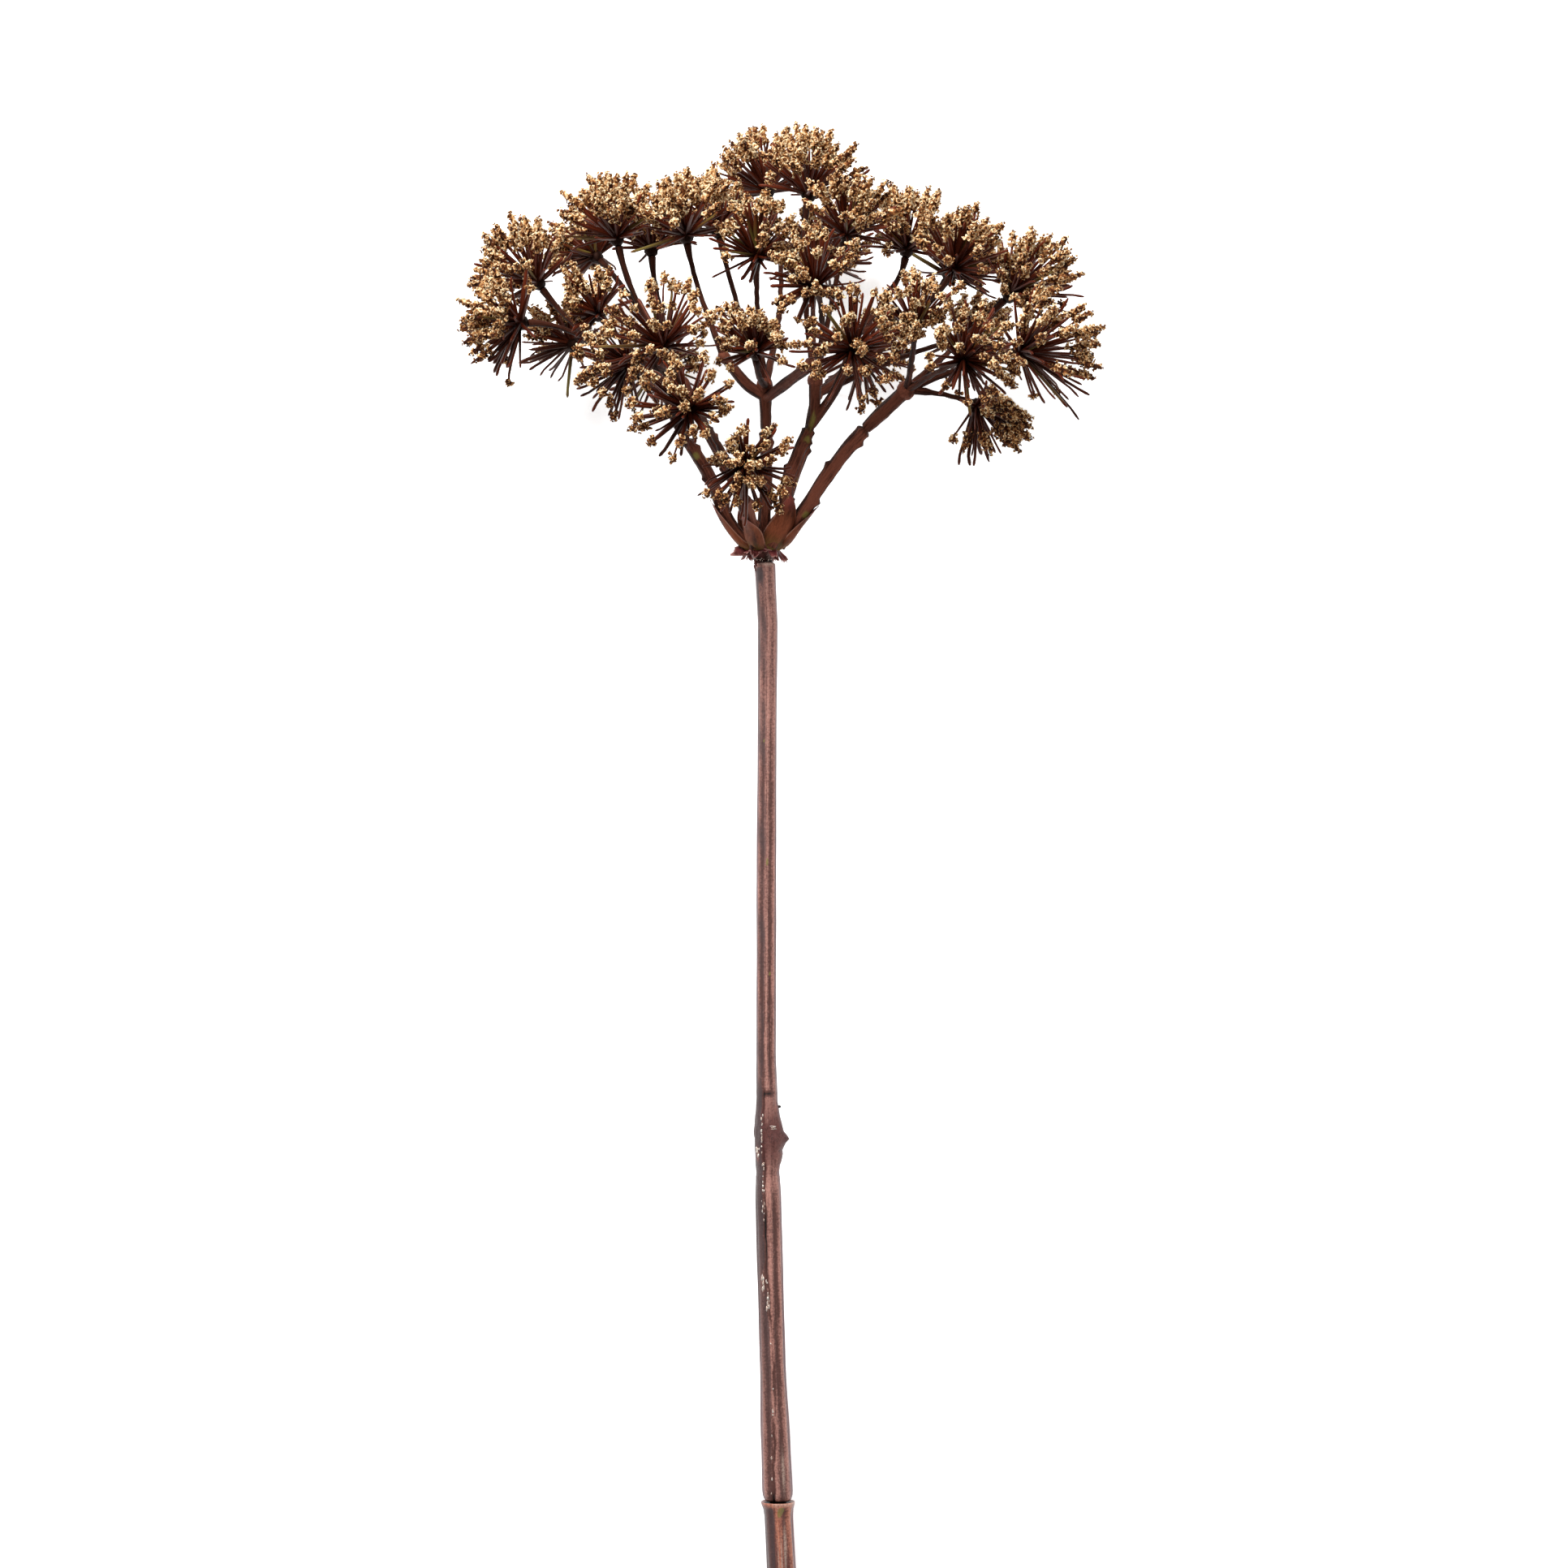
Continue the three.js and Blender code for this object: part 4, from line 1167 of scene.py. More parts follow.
def limb_reach(lengths, radii, around, rng, jointed):
    """The reach of a limb's rings: its taper, shallow ribs, lumps and scallops, and its plugged joint."""
    lengths = lengths[:, None]
    length = lengths[-1, 0]
    phase = rng.uniform(0, 6)
    reach = np.interp(lengths / length, (0, 1), radii)
    reach = reach * (0.96 + 0.05 * np.cos(5 * around + phase + lengths / 25))
    reach = reach + 0.1 * np.sin(lengths / rng.uniform(2.5, 4) + 2 * around + phase)
    scallops = np.maximum(np.cos(around - rng.uniform(0, 6)), 0) ** 2
    reach = reach - 0.16 * scallops * np.abs(np.sin(lengths / 1.7))
    past = lengths - JOINT_SHARE * length
    rim = 0.3 * hump(past + 0.9, 0.7) - 0.9 * hump(past, 0.5)
    narrow = np.where(past > 0, -0.45 * np.exp(-past / 6), 0)
    return reach + (rim + narrow if jointed else 0)


def leaf_scars(line, lengths, around):
    """How far the scars of lost leaves stand out from a limb, to either side by turns."""
    along, first, second = frames_along(line)
    lift = 0
    for side, share in zip((1, -1, 1), SCAR_SHARES):
        here = int(share * (len(line) - 1))
        out = unit((along[here][1] * side, -along[here][0] * side, 0.3))
        turn = math.atan2(np.dot(out, second[here]), np.dot(out, first[here]))
        off = lengths[:, None] - lengths[here]
        lift = lift + 1.15 * hump(off, np.where(off < 0, 1.8, 0.7)) * hump(swing(around, turn), 0.4)
    return lift


def add_limb(skin, path, radii, seed, is_main):
    """One limb of a branch, from its foot or parent to its fork, with the scars of lost leaves."""
    rng = np.random.default_rng(seed)
    fine = smooth_path(path)
    length = steps_along(fine).sum()
    count, sides = max(8, int(length / 0.6)), 18
    line, lengths, around = evenly(fine, count), np.linspace(0, length, count), steps_round(sides)
    reach = limb_reach(lengths, radii, around, rng, is_main)
    tint = np.zeros((count, sides, 4))
    tint[..., 0], tint[..., 1] = rng.random(), 0.5
    if is_main:
        reach = reach + leaf_scars(line, lengths, around)
        past = lengths - JOINT_SHARE * length
        tint[..., 1] = np.maximum(np.where(past > 0, 0.7, 0.1), hump(past, 0.9))[:, None]
    along, first, second = frames_along(line)
    for at, degrees, tall in GREEN_LEFT.get(seed, ()):
        toward = sideways(math.radians(degrees))
        off_round = swing(around, np.arctan2(second @ toward, first @ toward)[:, None])
        off = (lengths[:, None] - at * length) / tall + 0.3 * np.sin(9 * off_round)
        tint[..., 3] += np.exp(-(off**4)) * np.exp(-((off_round / 0.5) ** 4))
    keep = line[:, 1] > COLLAR_TOP - 2.5
    keep[max(np.argmax(keep) - 1, 0)] = True
    add_tube(skin, line[keep], reach[keep], sides, 0, tint[keep])
    if is_main and np.linalg.norm(line[0] * (1, 0, 1)) > 1:
        add_sheath(skin, line, lengths, reach.mean(), rng)


def add_sheath(skin, line, lengths, thickness, rng):
    """The leafy sheath that clasps a branch's foot: half a tube, from the neck up to a torn point."""
    out = unit(line[0] * (1, 0, 1))
    height = rng.uniform(12, 18)
    marks = np.linspace(4, 4 + height, 4)
    upper = [[np.interp(mark, lengths, line[:, i]) for i in range(3)] for mark in marks]
    rows, across = 18, 15
    course = evenly(smooth_path([out * 2.2 + (0, 1.0, 0), out * 4.0 + (0, 3.2, 0), *upper]), rows)
    along, first, second = frames_along(course)
    side = np.linspace(-1, 1, across)
    points, tints, grains = [], [], []
    for here, a, b, share in zip(course, first, second, np.linspace(0, 1, rows)):
        turn = math.atan2(np.dot(out, b), np.dot(out, a))
        angles = (1.9 * max(1 - share**2.4, 0) ** 0.8 + 0.04) * side
        own = np.interp(share, (0, 0.15, 0.3, 1), (1.3, 2.3, thickness + 0.35, thickness + 0.4))
        lift = own + 0.35 * share**3 + 0.3 * side**4 + 0.1 * np.sin(5 * angles + 9 * share)
        spread = lift * np.interp(share, (0, 0.3, 0.6, 1), (1.3, 1.75, 1.6, 1.0)) * np.sin(angles)
        middle = a * math.cos(turn) + b * math.sin(turn)
        tangent = b * math.cos(turn) - a * math.sin(turn)
        points.append(here + np.outer(lift * np.cos(angles), middle) + np.outer(spread, tangent))
        edge = 1 + 0.6 * (np.abs(side) > 0.92)
        tints.append(grid(share, 0, edge, max(0.95 - 2.2 * share, 0) * (1 - side**2)))
        grains.append(grid(0.5 * np.cos(angles), 0.5 * np.sin(angles), share * height / 10))
    skin.add(points, grid_faces(rows, across, closed=False), 0, tints, grains)


def add_ray(skin, umbellet, sizes):
    """The thin ray from a fork to its umbellet, with a knot or two, widening under the hub."""
    rng = np.random.default_rng(900 + umbellet.number)
    length = steps_along(umbellet.ray).sum()
    count = max(10, int(length / 2.0))
    share = np.linspace(0, 1, count)
    thin = sizes.ray_radius
    reach = np.interp(share, (0, 0.25, 0.5, 0.85, 1), (RAY_FOOT_RADIUS, 1.15, thin, thin, 1.55))
    for knot in rng.uniform(0.25, 0.85, 2):
        reach = reach + 0.28 * hump((share - knot) * length, 1.5)
    shaken = 0.3 * np.sin(share * math.pi)[:, None] * rng.normal(size=(count, 3)) * 0.35
    tint = grid(rng.random(), np.clip(0.3 + share, 0, 1), 0, 0)
    add_tube(skin, evenly(umbellet.ray, count) + shaken, reach, 10, 0, tint)


def branch_skin(branch, sizes):
    """All the limbs and rays of one branch, with a knuckle at each fork."""
    skin = Skin()
    number = BRANCHES.index(branch)
    rng = np.random.default_rng(40 + number)
    limbs = [(path, radii) for own, path, radii, *umbellets in LIMBS if own == branch]
    for i, (path, radii) in enumerate(limbs):
        add_limb(skin, path, radii, 60 + 10 * number + i, i == 0)
        before, fork = np.array(path[-2:], float)
        knuckle = radii[1] * np.array((1.2, 1.45, 1.2))
        turn = turn_from_up(unit(fork - before))
        add_ball(skin, fork, knuckle, 0, (rng.random(), 0.2, 0, 0), 7, 12, 0.12, i, turn)
    for umbellet in UMBELLETS:
        if umbellet.branch == branch:
            add_ray(skin, umbellet, sizes)
    return skin


# ---------------------------------------------------------------- umbellets


def petal_points(rng, turn, size):
    """One crumpled petal: its points in rows of three, and how near each is to the petal's rim, which sets its
    painted shade and highlight.
    """
    limits = ((0.9, 3.1), (-0.45, 0.35), (-0.2, 0.5), (-0.7, 0.7), (-0.25, 0.2))
    curl, lift, crease, lean, own = (rng.uniform(*limit) for limit in limits)
    points, rims = [], []
    for share, width in PETAL_ROWS:
        bend = share * curl
        out = size * (0.12 + math.sin(bend) / curl * 1.15)
        up = size * (1.1 * (1 - math.cos(bend)) / curl + lift * share)
        for side in (-1, 0, 1):
            raised = up + crease * size * abs(side) * share + rng.uniform(-0.1, 0.1) * size
            radial = out - 0.14 * abs(side) + rng.uniform(-0.08, 0.08) * size
            across = (side * width + lean * share * 0.5) * size
            x = radial * math.cos(turn) - across * math.sin(turn)
            z = radial * math.sin(turn) + across * math.cos(turn)
            points.append((x, raised, z))
            rims.append(share * 0.8 + 0.2 * abs(side) + own * share)
    return points, rims


def petalled_shape(rng):
    """A floret of four or five loose petals: its points, faces and rims."""
    petals = rng.integers(4, 6)
    blade = grid_faces(len(PETAL_ROWS), 3, closed=False)
    points, rims, faces = [], [], []
    for petal in range(petals):
        turn = 2 * math.pi * (petal + rng.uniform(-0.3, 0.3)) / petals
        own_points, own_rims = petal_points(rng, turn, rng.uniform(0.65, 1.15))
        faces.append(blade + len(points))
        points += own_points
        rims += own_rims
    return np.array(points), np.concatenate(faces), np.array(rims)


def ruffled_shape(rng):
    """A floret shrunk to a crumpled rosette, with its lip rolled out: its points, faces and rims."""
    sides = 6
    around = steps_round(sides)[0]
    waves, phase, tip = rng.integers(2, 4), rng.uniform(0, 6), rng.uniform(0.2, 0.5)
    points, rims = [], []
    for share, out, up, rim in RUFFLE_ROWS:
        wave = np.sin(waves * around + phase)
        reach = out * (1 + 0.35 * share * wave) + rng.uniform(-0.1, 0.1, sides)
        height = up + tip * share * np.cos(waves * around + 2 * phase) + rng.uniform(-0.12, 0.12, sides)
        points.append(grid(reach * np.cos(around), height, reach * np.sin(around)))
        rims.append(rim + 0.25 * share * wave + rng.uniform(-0.12, 0.12, sides))
    return np.concatenate(points), grid_faces(len(RUFFLE_ROWS), sides), np.concatenate(rims)


def floret_shapes(count, seed):
    """The crumpled little flowers that the florets are copies of."""
    rng = np.random.default_rng(seed)
    return [ruffled_shape(rng) if i % 2 else petalled_shape(rng) for i in range(count)]


FLORET_SHAPES = floret_shapes(16, 77)


def floret_places(umbellet, pedicels, sizes):
    """Where the florets sit along the ends of the pedicels in flower, how each is turned and sized, and its
    tone.
    """
    rng = np.random.default_rng(300 + umbellet.number)
    places = []
    for direction, length, spike in pedicels:
        count = int(round(3 + spike * sizes.florets_per_mm)) if spike else 0
        side = unit(np.cross(direction, (0.31, 0.7, 0.64)))
        other = np.cross(direction, side)
        start = rng.uniform(0, 2 * math.pi)
        for i in range(count):
            share = i / max(1, count - 1)
            at_tip = share > 0.99
            turn = start + 2.4 * i
            size = sizes.floret_size / 2 * rng.uniform(0.8, 1.15) * (1.05 - 0.35 * share)
            size *= 1 - 0.12 * max(umbellet.facing[2], 0)
            out = side * math.cos(turn) + other * math.sin(turn)
            off = 0.1 if at_tip else rng.uniform(0.8, 1.4) * (1.1 - 0.45 * share)
            back = size + (spike - size) * (1 - share)
            up = unit(direction * (1.0 if at_tip else rng.uniform(0.0, 0.8)) + out * rng.uniform(0.6, 1.0))
            middle = umbellet.hub + direction * (length - back) + out * off
            # Florets that point up the flower get a lighter tone, as painted light from above, with a random
            # share added.
            tone = np.clip(0.5 + 0.35 * (direction[1] + out[1]) + rng.uniform(-0.35, 0.35), 0, 1)
            places.append((middle, up, size, rng.uniform(0, 2 * math.pi), tone))
    return places


def add_florets(skin, places, seed):
    """All the florets of an umbellet, each a turned copy of a shape drawn by chance."""
    chosen = np.random.default_rng(seed).integers(0, len(FLORET_SHAPES), len(places))
    for kind, (points, faces, rims) in enumerate(FLORET_SHAPES):
        own = [place for place, choice in zip(places, chosen) if choice == kind]
        if not own:
            continue
        middles, ups, sizes, spins, tones = (np.array(column) for column in zip(*own))
        first = unit(np.cross(ups, (0.3, 0.5, 0.81)))
        a = first * np.cos(spins)[:, None] + np.cross(ups, first) * np.sin(spins)[:, None]
        turn = np.stack((a, ups, np.cross(a, ups)), axis=1) * sizes[:, None, None]
        placed = np.einsum("vk,nkj->nvj", points, turn) + middles[:, None]
        faces = faces[None] + (np.arange(len(own)) * len(points))[:, None, None]
        skin.add(placed, faces.reshape(-1, 4), 1, grid(tones[:, None], rims, 0, 0))


def add_pedicel(skin, hub, direction, length, spike, rng, sizes):
    """One stalk, slightly bowed. Some are broad and flat, as if two or three had grown together.

    Without florets a stalk is shorter and ends in a blunt, slightly swollen tip.
    """
    sides = 6
    share = np.array((0, 0.14, 0.84, 0.95, 1))
    end = length - max(0.3, spike - 1.5) if spike else length * rng.uniform(0.78, 1)
    bow = unit(np.cross(direction, rng.normal(size=3))) * rng.uniform(0, 0.05 if spike else 0.09) * length
    line = hub + (1.2 + (end - 1.2) * share)[:, None] * direction + (4 * share * (1 - share))[:, None] * bow
    stout = sizes.pedicel_radius * rng.uniform(0.75, 1.2)
    if spike:
        reach = stout * np.interp(share, (0, 0.15, 0.7, 1), (1.5, 1.1, 0.75, 0.6))
    else:
        reach = stout * np.array((1.5, 1.0, 0.7, 0.8, 0.45))
    broad = rng.uniform(1.7, 2.6 if spike else 1.9) if rng.random() < 0.5 else rng.uniform(1.0, 1.3)
    flat = 1 + (broad - 1) * np.interp(share, (0, 0.3, 0.75, 1), (0.3, 1, 0.8, 0.4))
    around = steps_round(sides) + rng.uniform(0, 1)
    oval = 1 / np.sqrt((np.cos(around) / flat[:, None]) ** 2 + np.sin(around) ** 2)
    # Stalks that point up the flower get a lighter tone, as painted light from above.
    own = np.clip(rng.uniform(0.2, 0.8) + 0.3 * direction[1], 0, 1)
    is_green = rng.random() < 0.05
    green = np.clip(1.2 - 3 * np.abs(share - rng.uniform(0.3, 0.7)), 0, 0.8) if is_green else 0
    add_tube(skin, line, reach[:, None] * oval, sides, 0, grid(own, share, green, 0))
    if spike:
        add_spike_core(skin, hub, direction, length, spike, rng)


def add_spike_core(skin, hub, direction, length, spike, rng):
    """The crumbly heart of a spike of florets, which fills the gaps between them."""
    rings, sides = 9, 5
    share = np.linspace(0, 1, rings)
    line = hub + (length - spike + (spike - 1.2) * share)[:, None] * direction
    lumps = rng.uniform(0, 1, (rings, sides))
    reach = np.interp(share, (0, 0.15, 0.5, 0.85, 1), (0.45, 0.95, 1.2, 0.95, 0.5))
    # Cores of spikes that point up the flower are painted lighter, as painted light from above; lumps that
    # stand out get lighter and hollows darker, as painted highlight and shade.
    own = np.clip(0.4 + 0.3 * direction[1] + rng.uniform(-0.3, 0.3), 0, 1)
    add_tube(skin, line, reach[:, None] * (0.55 + 0.85 * lumps), sides, 1, grid(own, lumps**1.5, 0, 0))


def umbellet_skin(umbellet, sizes):
    """One umbellet: its knotty hub, its pedicels and their spikes of florets.

    Pedicels that point far from the lifted middle of the umbellet have mostly lost their florets.
    """
    rng = np.random.default_rng(100 + umbellet.number)
    turned_up = umbellet.facing[2]
    spike_length = np.interp(turned_up, (0.3, 0.7), (sizes.long_spike, sizes.short_spike))
    seldom = 0.06 + 0.1 * max(turned_up, 0)
    fronted = np.interp(turned_up, (0.75, 0.95), (0, 1))
    lifted = unit(umbellet.facing + (0, 0.45 - 0.34 * fronted, 0))
    grown = main_pedicels(umbellet) + between_pedicels(umbellet, sizes.fine_pedicels)
    pedicels = []
    for direction, length, in_flower in grown:
        off = math.degrees(away_from(lifted, direction))
        bare = rng.random() < np.interp(off, (46 + 14 * fronted, 78 + 20 * fronted), (seldom, 0.88))
        spike = 0 if bare else min(rng.uniform(0.75, 1.25) * spike_length, 0.48 * length)
        if not in_flower:
            spike = rng.uniform(2, 3.6) if rng.random() < 0.2 else 0
        pedicels.append((direction, length, spike))
    skin = Skin()
    knot, turn = umbellet.hub - 0.6 * umbellet.facing, turn_from_up(umbellet.facing)
    add_ball(skin, knot, (2.7, 2.7, 2.7), 2, (0.5, 0, 0, 0), 6, 12, 0.3, umbellet.number, turn)
    for pedicel in pedicels:
        add_pedicel(skin, umbellet.hub, *pedicel, rng, sizes)
    add_florets(skin, floret_places(umbellet, pedicels, sizes), 200 + umbellet.number)
    return skin


# ---------------------------------------------------------------- settings


def colour_setting(name, description, *seen):
    """A colour, given as it is seen."""
    return bpy.props.FloatVectorProperty(
        name=name, description=description, default=colour(*seen), subtype="COLOR", size=3, min=0, max=1
    )


def number_setting(name, description, default, low=0.01, unit="NONE"):
    """A number. Lengths without a unit are in the flower's millimetres."""
    return bpy.props.FloatProperty(name=name, description=description, default=default, min=low, unit=unit)


class LaceColours(bpy.types.PropertyGroup):
    """The colours of the dried flower."""

    floret: colour_setting("Petals", "Tan of the dry petals", 212, 158, 98)
    # Cream of the rims, painted paler as highlight.
    floret_rim_and_highlight: colour_setting("Petal rims", "Cream of the petals' curled rims", 255, 236, 196)
    # Painted shade on the petals' lower parts.
    floret_painted_shade: colour_setting("Petal shade", "Brown of the petals' lower parts", 116, 62, 28)
    # Painted shadow in the crevices between the petals.
    floret_crevice_shadow: colour_setting("Petal hearts", "Dark hearts between the petals", 50, 21, 8)
    pedicel: colour_setting("Pedicels", "Red-brown of the lighter pedicels", 106, 42, 22)
    # Darkest pedicels, also the painted shade near the hubs.
    pedicel_dark_and_shade: colour_setting("Dark pedicels", "Brown of the darkest pedicels", 16, 3, 2)
    green_left: colour_setting("Green bits", "Green that shows where the brown is thin", 132, 124, 62)
    hub: colour_setting("Hubs", "Near-black of the knots", 16, 7, 5)
    branch: colour_setting("Branches", "Red-brown of the branches", 116, 66, 50)
    # Dark streaks on the branches, also the painted shade at their sides.
    branch_dark_and_shade: colour_setting("Branch streaks", "Dark streaks on the branches", 42, 18, 14)
    # Pale line along the very edge of a limb and of a sheath.
    seam: colour_setting("Seams", "Pale line down the side of a branch", 164, 122, 104)
    ray: colour_setting("Rays", "Grey-brown of the thin rays", 72, 38, 28)
    # Dark streaks on the rays, also the painted shade at their sides.
    ray_dark_and_shade: colour_setting("Ray streaks", "Dark streaks on the rays", 28, 11, 7)
    sheath: colour_setting("Sheaths", "Orange-brown of the leafy sheaths", 126, 68, 45)
    sheath_dark: colour_setting("Sheath streaks", "Dark veins of the sheaths", 46, 20, 13)
    stem: colour_setting("Stem ribs", "Red-brown of the ribs", 199, 141, 127)
    # Dark streaks of the stem, also the painted shade in its grooves.
    stem_dark_and_groove_shade: colour_setting("Stem grooves", "Dark brown of the grooves", 88, 52, 45)
    # Pale scuffs and specks, also the colour of the painted highlights.
    stem_speck_and_highlight: colour_setting("Stem scuffs", "Pale scuffs and specks", 208, 178, 162)
    # Mauve-grey painted shade on the stem's sides.
    stem_edge_shade: colour_setting("Stem sides", "Mauve-grey of the stem's sides", 122, 92, 96)
    stem_stain: colour_setting("Stem stain", "Dark mauve beside the deepest groove", 76, 58, 58)
    stem_knot: colour_setting("Stem node", "Darker brown round the node", 86, 40, 37)
    foot: colour_setting("Foot ribs", "Redder ribs of the foot", 206, 128, 100)
    # Dark streaks of the foot, also the painted shade in its grooves.
    foot_dark_and_groove_shade: colour_setting("Foot grooves", "Grooves of the foot", 96, 48, 38)
    bract: colour_setting("Bracts", "Maroon of the bracts", 140, 66, 68)
    bract_dark: colour_setting("Bract shade", "Dark maroon of the bracts", 66, 26, 26)
    bract_edge: colour_setting("Bract edges", "Pink of their torn edges", 186, 136, 128)


class LaceSizes(bpy.types.PropertyGroup):
    """The sizes of the fine parts, in millimetres of the flower."""

    stem_step: number_setting("Stem rings", "Distance between the stem's rings", 1.4)
    ray_radius: number_setting("Ray radius", "Radius of a ray at its thinnest", 0.95)
    pedicel_radius: number_setting("Pedicel radius", "Radius of a pedicel", 0.6)
    floret_size: number_setting("Floret size", "Width of one floret", 2.5)
    long_spike: number_setting("Long spikes", "Length of a spike of florets seen from the side", 9.0)
    short_spike: number_setting("Short spikes", "Length of a spike on an umbellet that is turned up", 4.6)
    fine_pedicels: bpy.props.IntProperty(
        name="Fine pedicels", description="Pedicels between an umbellet's main ones", default=38, min=0, max=80
    )
    florets_per_mm: number_setting("Florets per millimetre", "How close the florets sit on a spike", 1.3, 0.1)


class LaceStage(bpy.types.PropertyGroup):
    """The floor, the lights and the camera."""

    floor: colour_setting("Floor", "Colour of the floor", 244, 244, 244)
    glow: number_setting("Floor glow", "Light from the floor itself", 0.66, 0)
    sky: number_setting("Soft light", "Strength of the light from all round", 0.31, 0)
    key: number_setting("Key light", "Power of the main soft light", 17.6, 0, "POWER")
    fill: number_setting("Fill light", "Power of the light from the other side", 2.5, 0, "POWER")
    distance: number_setting("Camera distance", "From the camera to the flower", 1.61, 0.1, "LENGTH")
    lens: number_setting("Lens", "Focal length in millimetres", 100, 10, "CAMERA")
    aim: bpy.props.FloatVectorProperty(
        name="Aim", description="What the camera looks at, in the flower's millimetres", default=(7.8, -84.3, 0)
    )


# ---------------------------------------------------------------- operators


class LACE_OT_stem(bpy.types.Operator):
    """Grow the ribbed stem and its plugged foot"""

    bl_idname = "lace.stem"
    bl_label = "Stem and foot"

    def execute(self, context):
        colours, sizes = context.scene.lace_colours, context.scene.lace_sizes
        bark = stem_finish(colours, "stem_bark", colours.stem, colours.stem_dark_and_groove_shade, 0.05)
        place_piece("stem", stem_skin(sizes), (bark, glue_finish(colours)))
        bark = stem_finish(colours, "foot_bark", colours.foot, colours.foot_dark_and_groove_shade, 0.3)
        place_piece("stem_foot", foot_skin(sizes), (bark,))
        return {"FINISHED"}


class LACE_OT_collar(bpy.types.Operator):
    """Grow the collar of torn bracts under the branches"""

    bl_idname = "lace.collar"
    bl_label = "Collar"

    def execute(self, context):
        colours = context.scene.lace_colours
        place_piece("collar", collar_skin(), (bract_finish(colours), glue_finish(colours)))
        return {"FINISHED"}


class LACE_OT_branches(bpy.types.Operator):
    """Grow the branches, their sheaths and their rays"""

    bl_idname = "lace.branches"
    bl_label = "Branches"

    def execute(self, context):
        bark = bark_finish(context.scene.lace_colours)
        for branch in BRANCHES:
            skin = branch_skin(branch, context.scene.lace_sizes)
            place_piece(f"branch_{branch}", skin, (bark,))
        return {"FINISHED"}


class LACE_OT_umbellets(bpy.types.Operator):
    """Grow the umbellets: hubs, pedicels and florets"""

    bl_idname = "lace.umbellets"
    bl_label = "Umbellets"

    def execute(self, context):
        colours, sizes = context.scene.lace_colours, context.scene.lace_sizes
        finishes = (pedicel_finish(colours), floret_finish(colours), hub_finish(colours))
        for umbellet in UMBELLETS:
            place_piece(umbellet.name, umbellet_skin(umbellet, sizes), finishes)
        return {"FINISHED"}


# The floor, the sensor and the camera's nearest and farthest sight are in their usual units. Where the lights
# hang, what they are turned to, and where the camera aims are in the flower's frame.
FLOOR_CORNERS = ((-4, -4, 0), (4, -4, 0), (4, 4, 0), (-4, 4, 0))
FLOOR_DROP = 0.0002
KEY_PLACE, FILL_PLACE, LIT = (-380, 720, 760), (700, -200, 900), (0, 40, 0)
SENSOR_WIDTH = 36
SIGHT = (0.05, 30)


def add_light(name, place, size, power):
    """A square soft light at a place, turned to the flower."""
    light = bpy.data.lights.new(name, "AREA")
    light.size, light.energy = size, power
    lamp = bpy.data.objects.new(name, light)
    lamp.location = in_scene(place)
    towards = Vector(in_scene(LIT)) - Vector(in_scene(place))
    lamp.rotation_euler = towards.to_track_quat("-Z", "Y").to_euler()
    bpy.context.scene.collection.objects.link(lamp)


def add_floor(shade, glow):
    """The pale floor, a hair under the flower."""
    mesh = bpy.data.meshes.new("floor")
    mesh.from_pydata(FLOOR_CORNERS, [], [(0, 1, 2, 3)])
    floor = bpy.data.objects.new("floor", mesh)
    floor.location.z = -FLOOR_DROP
    bpy.context.scene.collection.objects.link(floor)
    light = {"Emission_Color": (1, 1, 1), "Emission_Strength": glow}
    mesh.materials.append(Finish("floor_paper", Base_Color=shade, Roughness=0.9, **light).material)


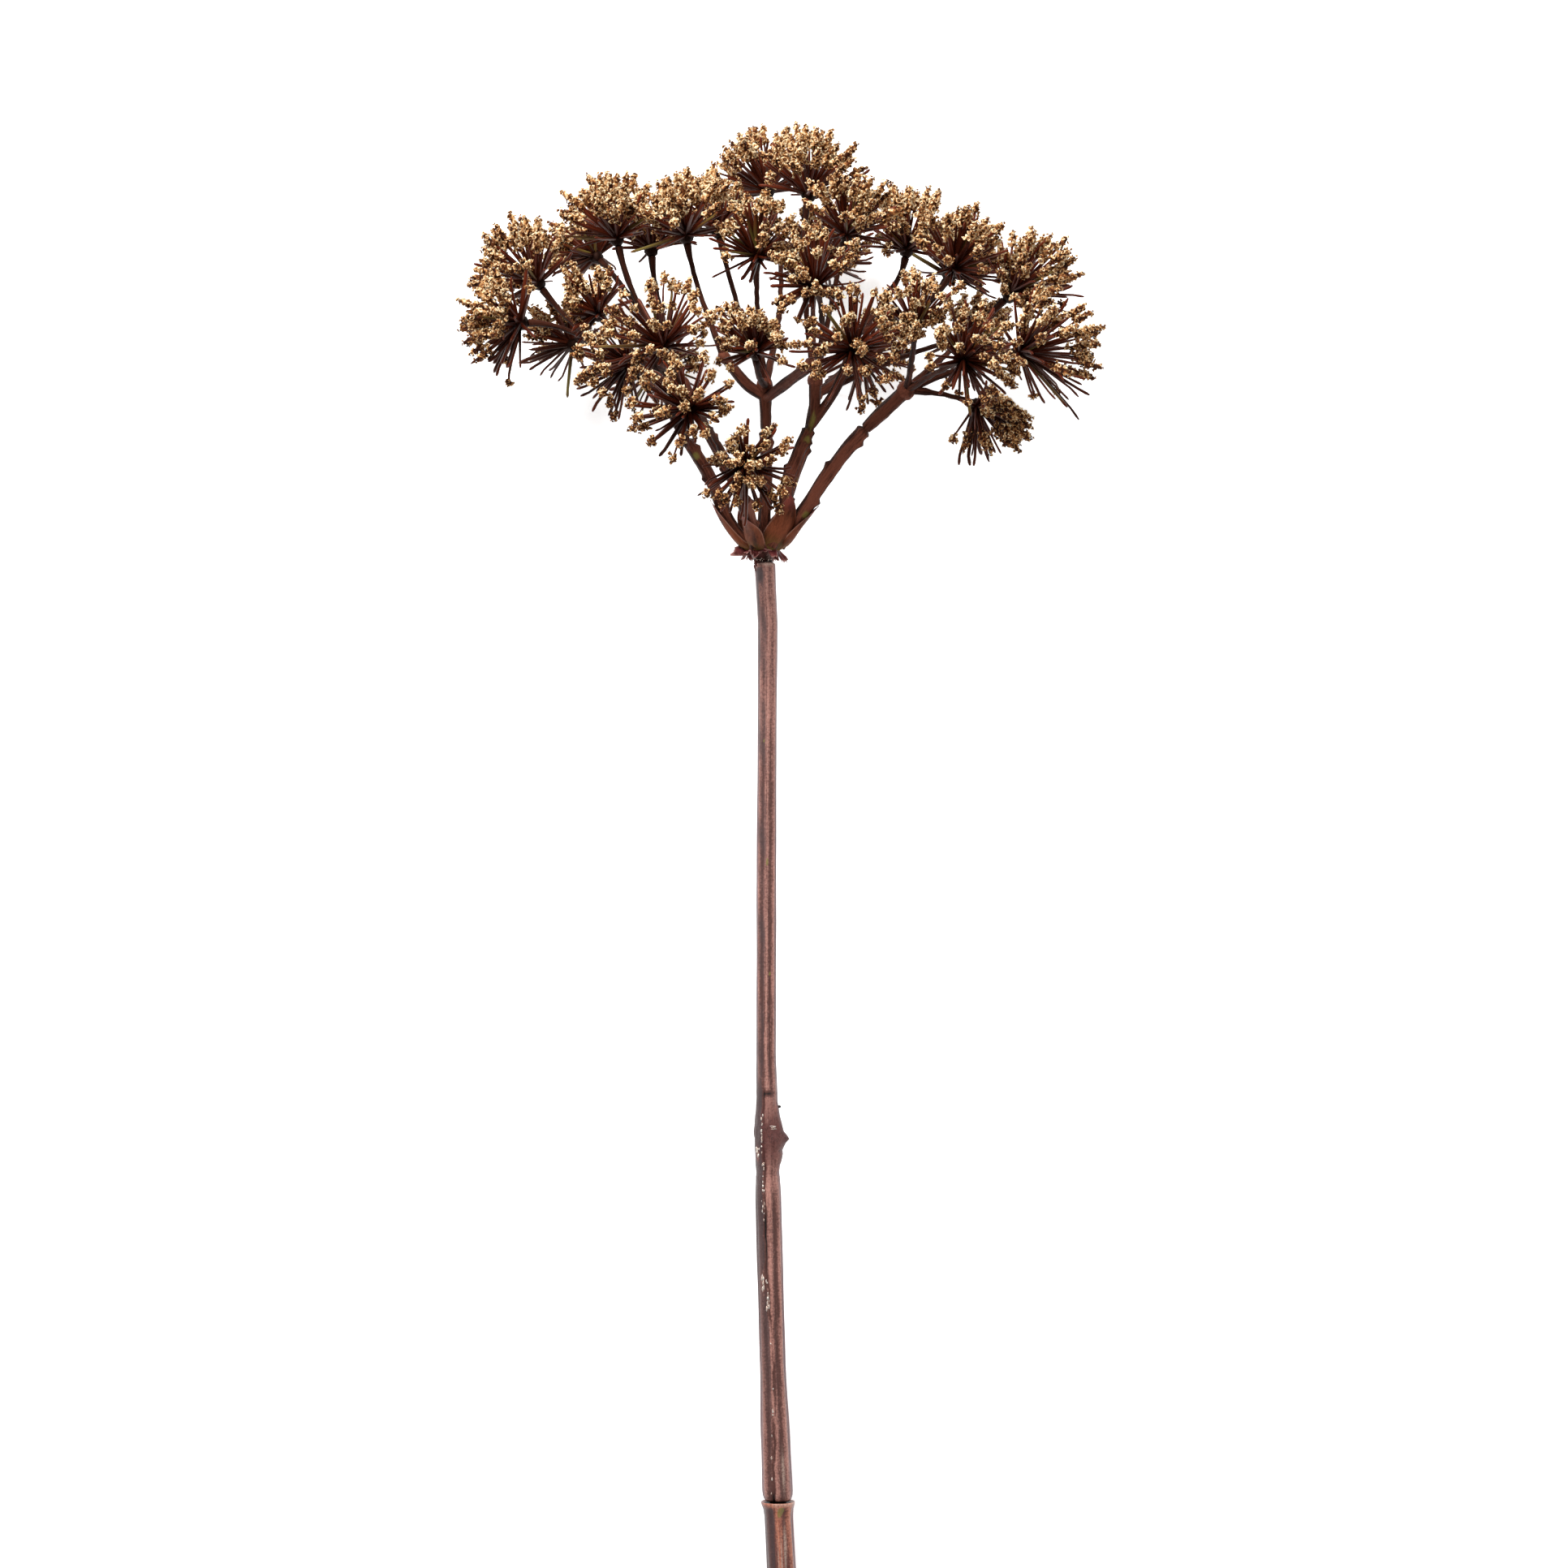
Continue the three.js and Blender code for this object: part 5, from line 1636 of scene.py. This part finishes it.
class LACE_OT_stage(bpy.types.Operator):
    """Lay the pale floor, hang the soft lights and set up the camera"""

    bl_idname = "lace.stage"
    bl_label = "Floor, lights and camera"

    def execute(self, context):
        scene, stage = context.scene, context.scene.lace_stage
        add_floor(stage.floor, stage.glow)
        scene.world = scene.world or bpy.data.worlds.new("soft_light")
        scene.world.use_nodes = True
        background = scene.world.node_tree.nodes["Background"]
        background.inputs["Color"].default_value = (1, 1, 1, 1)
        background.inputs["Strength"].default_value = stage.sky
        scene.view_settings.view_transform = "Standard"
        add_light("key_light", KEY_PLACE, 0.45, stage.key)
        add_light("fill_light", FILL_PLACE, 0.9, stage.fill)
        camera = bpy.data.objects.new("camera", bpy.data.cameras.new("camera"))
        camera.data.lens, camera.data.sensor_width = stage.lens, SENSOR_WIDTH
        camera.data.clip_start, camera.data.clip_end = SIGHT
        camera.location = in_scene(np.array(stage.aim) + (0, 0, stage.distance / MM))
        camera.rotation_euler = (LEAN, 0, 0)
        scene.collection.objects.link(camera)
        scene.camera = camera
        return {"FINISHED"}


# ---------------------------------------------------------------- panel and registration

OPERATORS = (LACE_OT_stem, LACE_OT_collar, LACE_OT_branches, LACE_OT_umbellets, LACE_OT_stage)
SETTINGS = {"lace_sizes": LaceSizes, "lace_colours": LaceColours, "lace_stage": LaceStage}


class LACE_PT_panel(bpy.types.Panel):
    """The steps that dress the flower, and their settings."""

    bl_idname = "LACE_PT_panel"
    bl_label = "Dried Queen Anne's Lace"
    bl_space_type = "VIEW_3D"
    bl_region_type = "UI"
    bl_category = "Lace"

    def draw(self, context):
        for operator in OPERATORS:
            self.layout.operator(operator.bl_idname)
        for place, group in SETTINGS.items():
            box = self.layout.box()
            for name in group.__annotations__:
                box.prop(getattr(context.scene, place), name)


CLASSES = (*SETTINGS.values(), *OPERATORS, LACE_PT_panel)


def register():
    for cls in CLASSES:
        bpy.utils.register_class(cls)
    for place, group in SETTINGS.items():
        setattr(bpy.types.Scene, place, bpy.props.PointerProperty(type=group))


def unregister():
    for place in SETTINGS:
        delattr(bpy.types.Scene, place)
    for cls in reversed(CLASSES):
        bpy.utils.unregister_class(cls)


def main():
    register()
    bpy.ops.lace.stem()
    bpy.ops.lace.collar()
    bpy.ops.lace.branches()
    bpy.ops.lace.umbellets()
    bpy.ops.lace.stage()


if __name__ == "__main__":
    main()
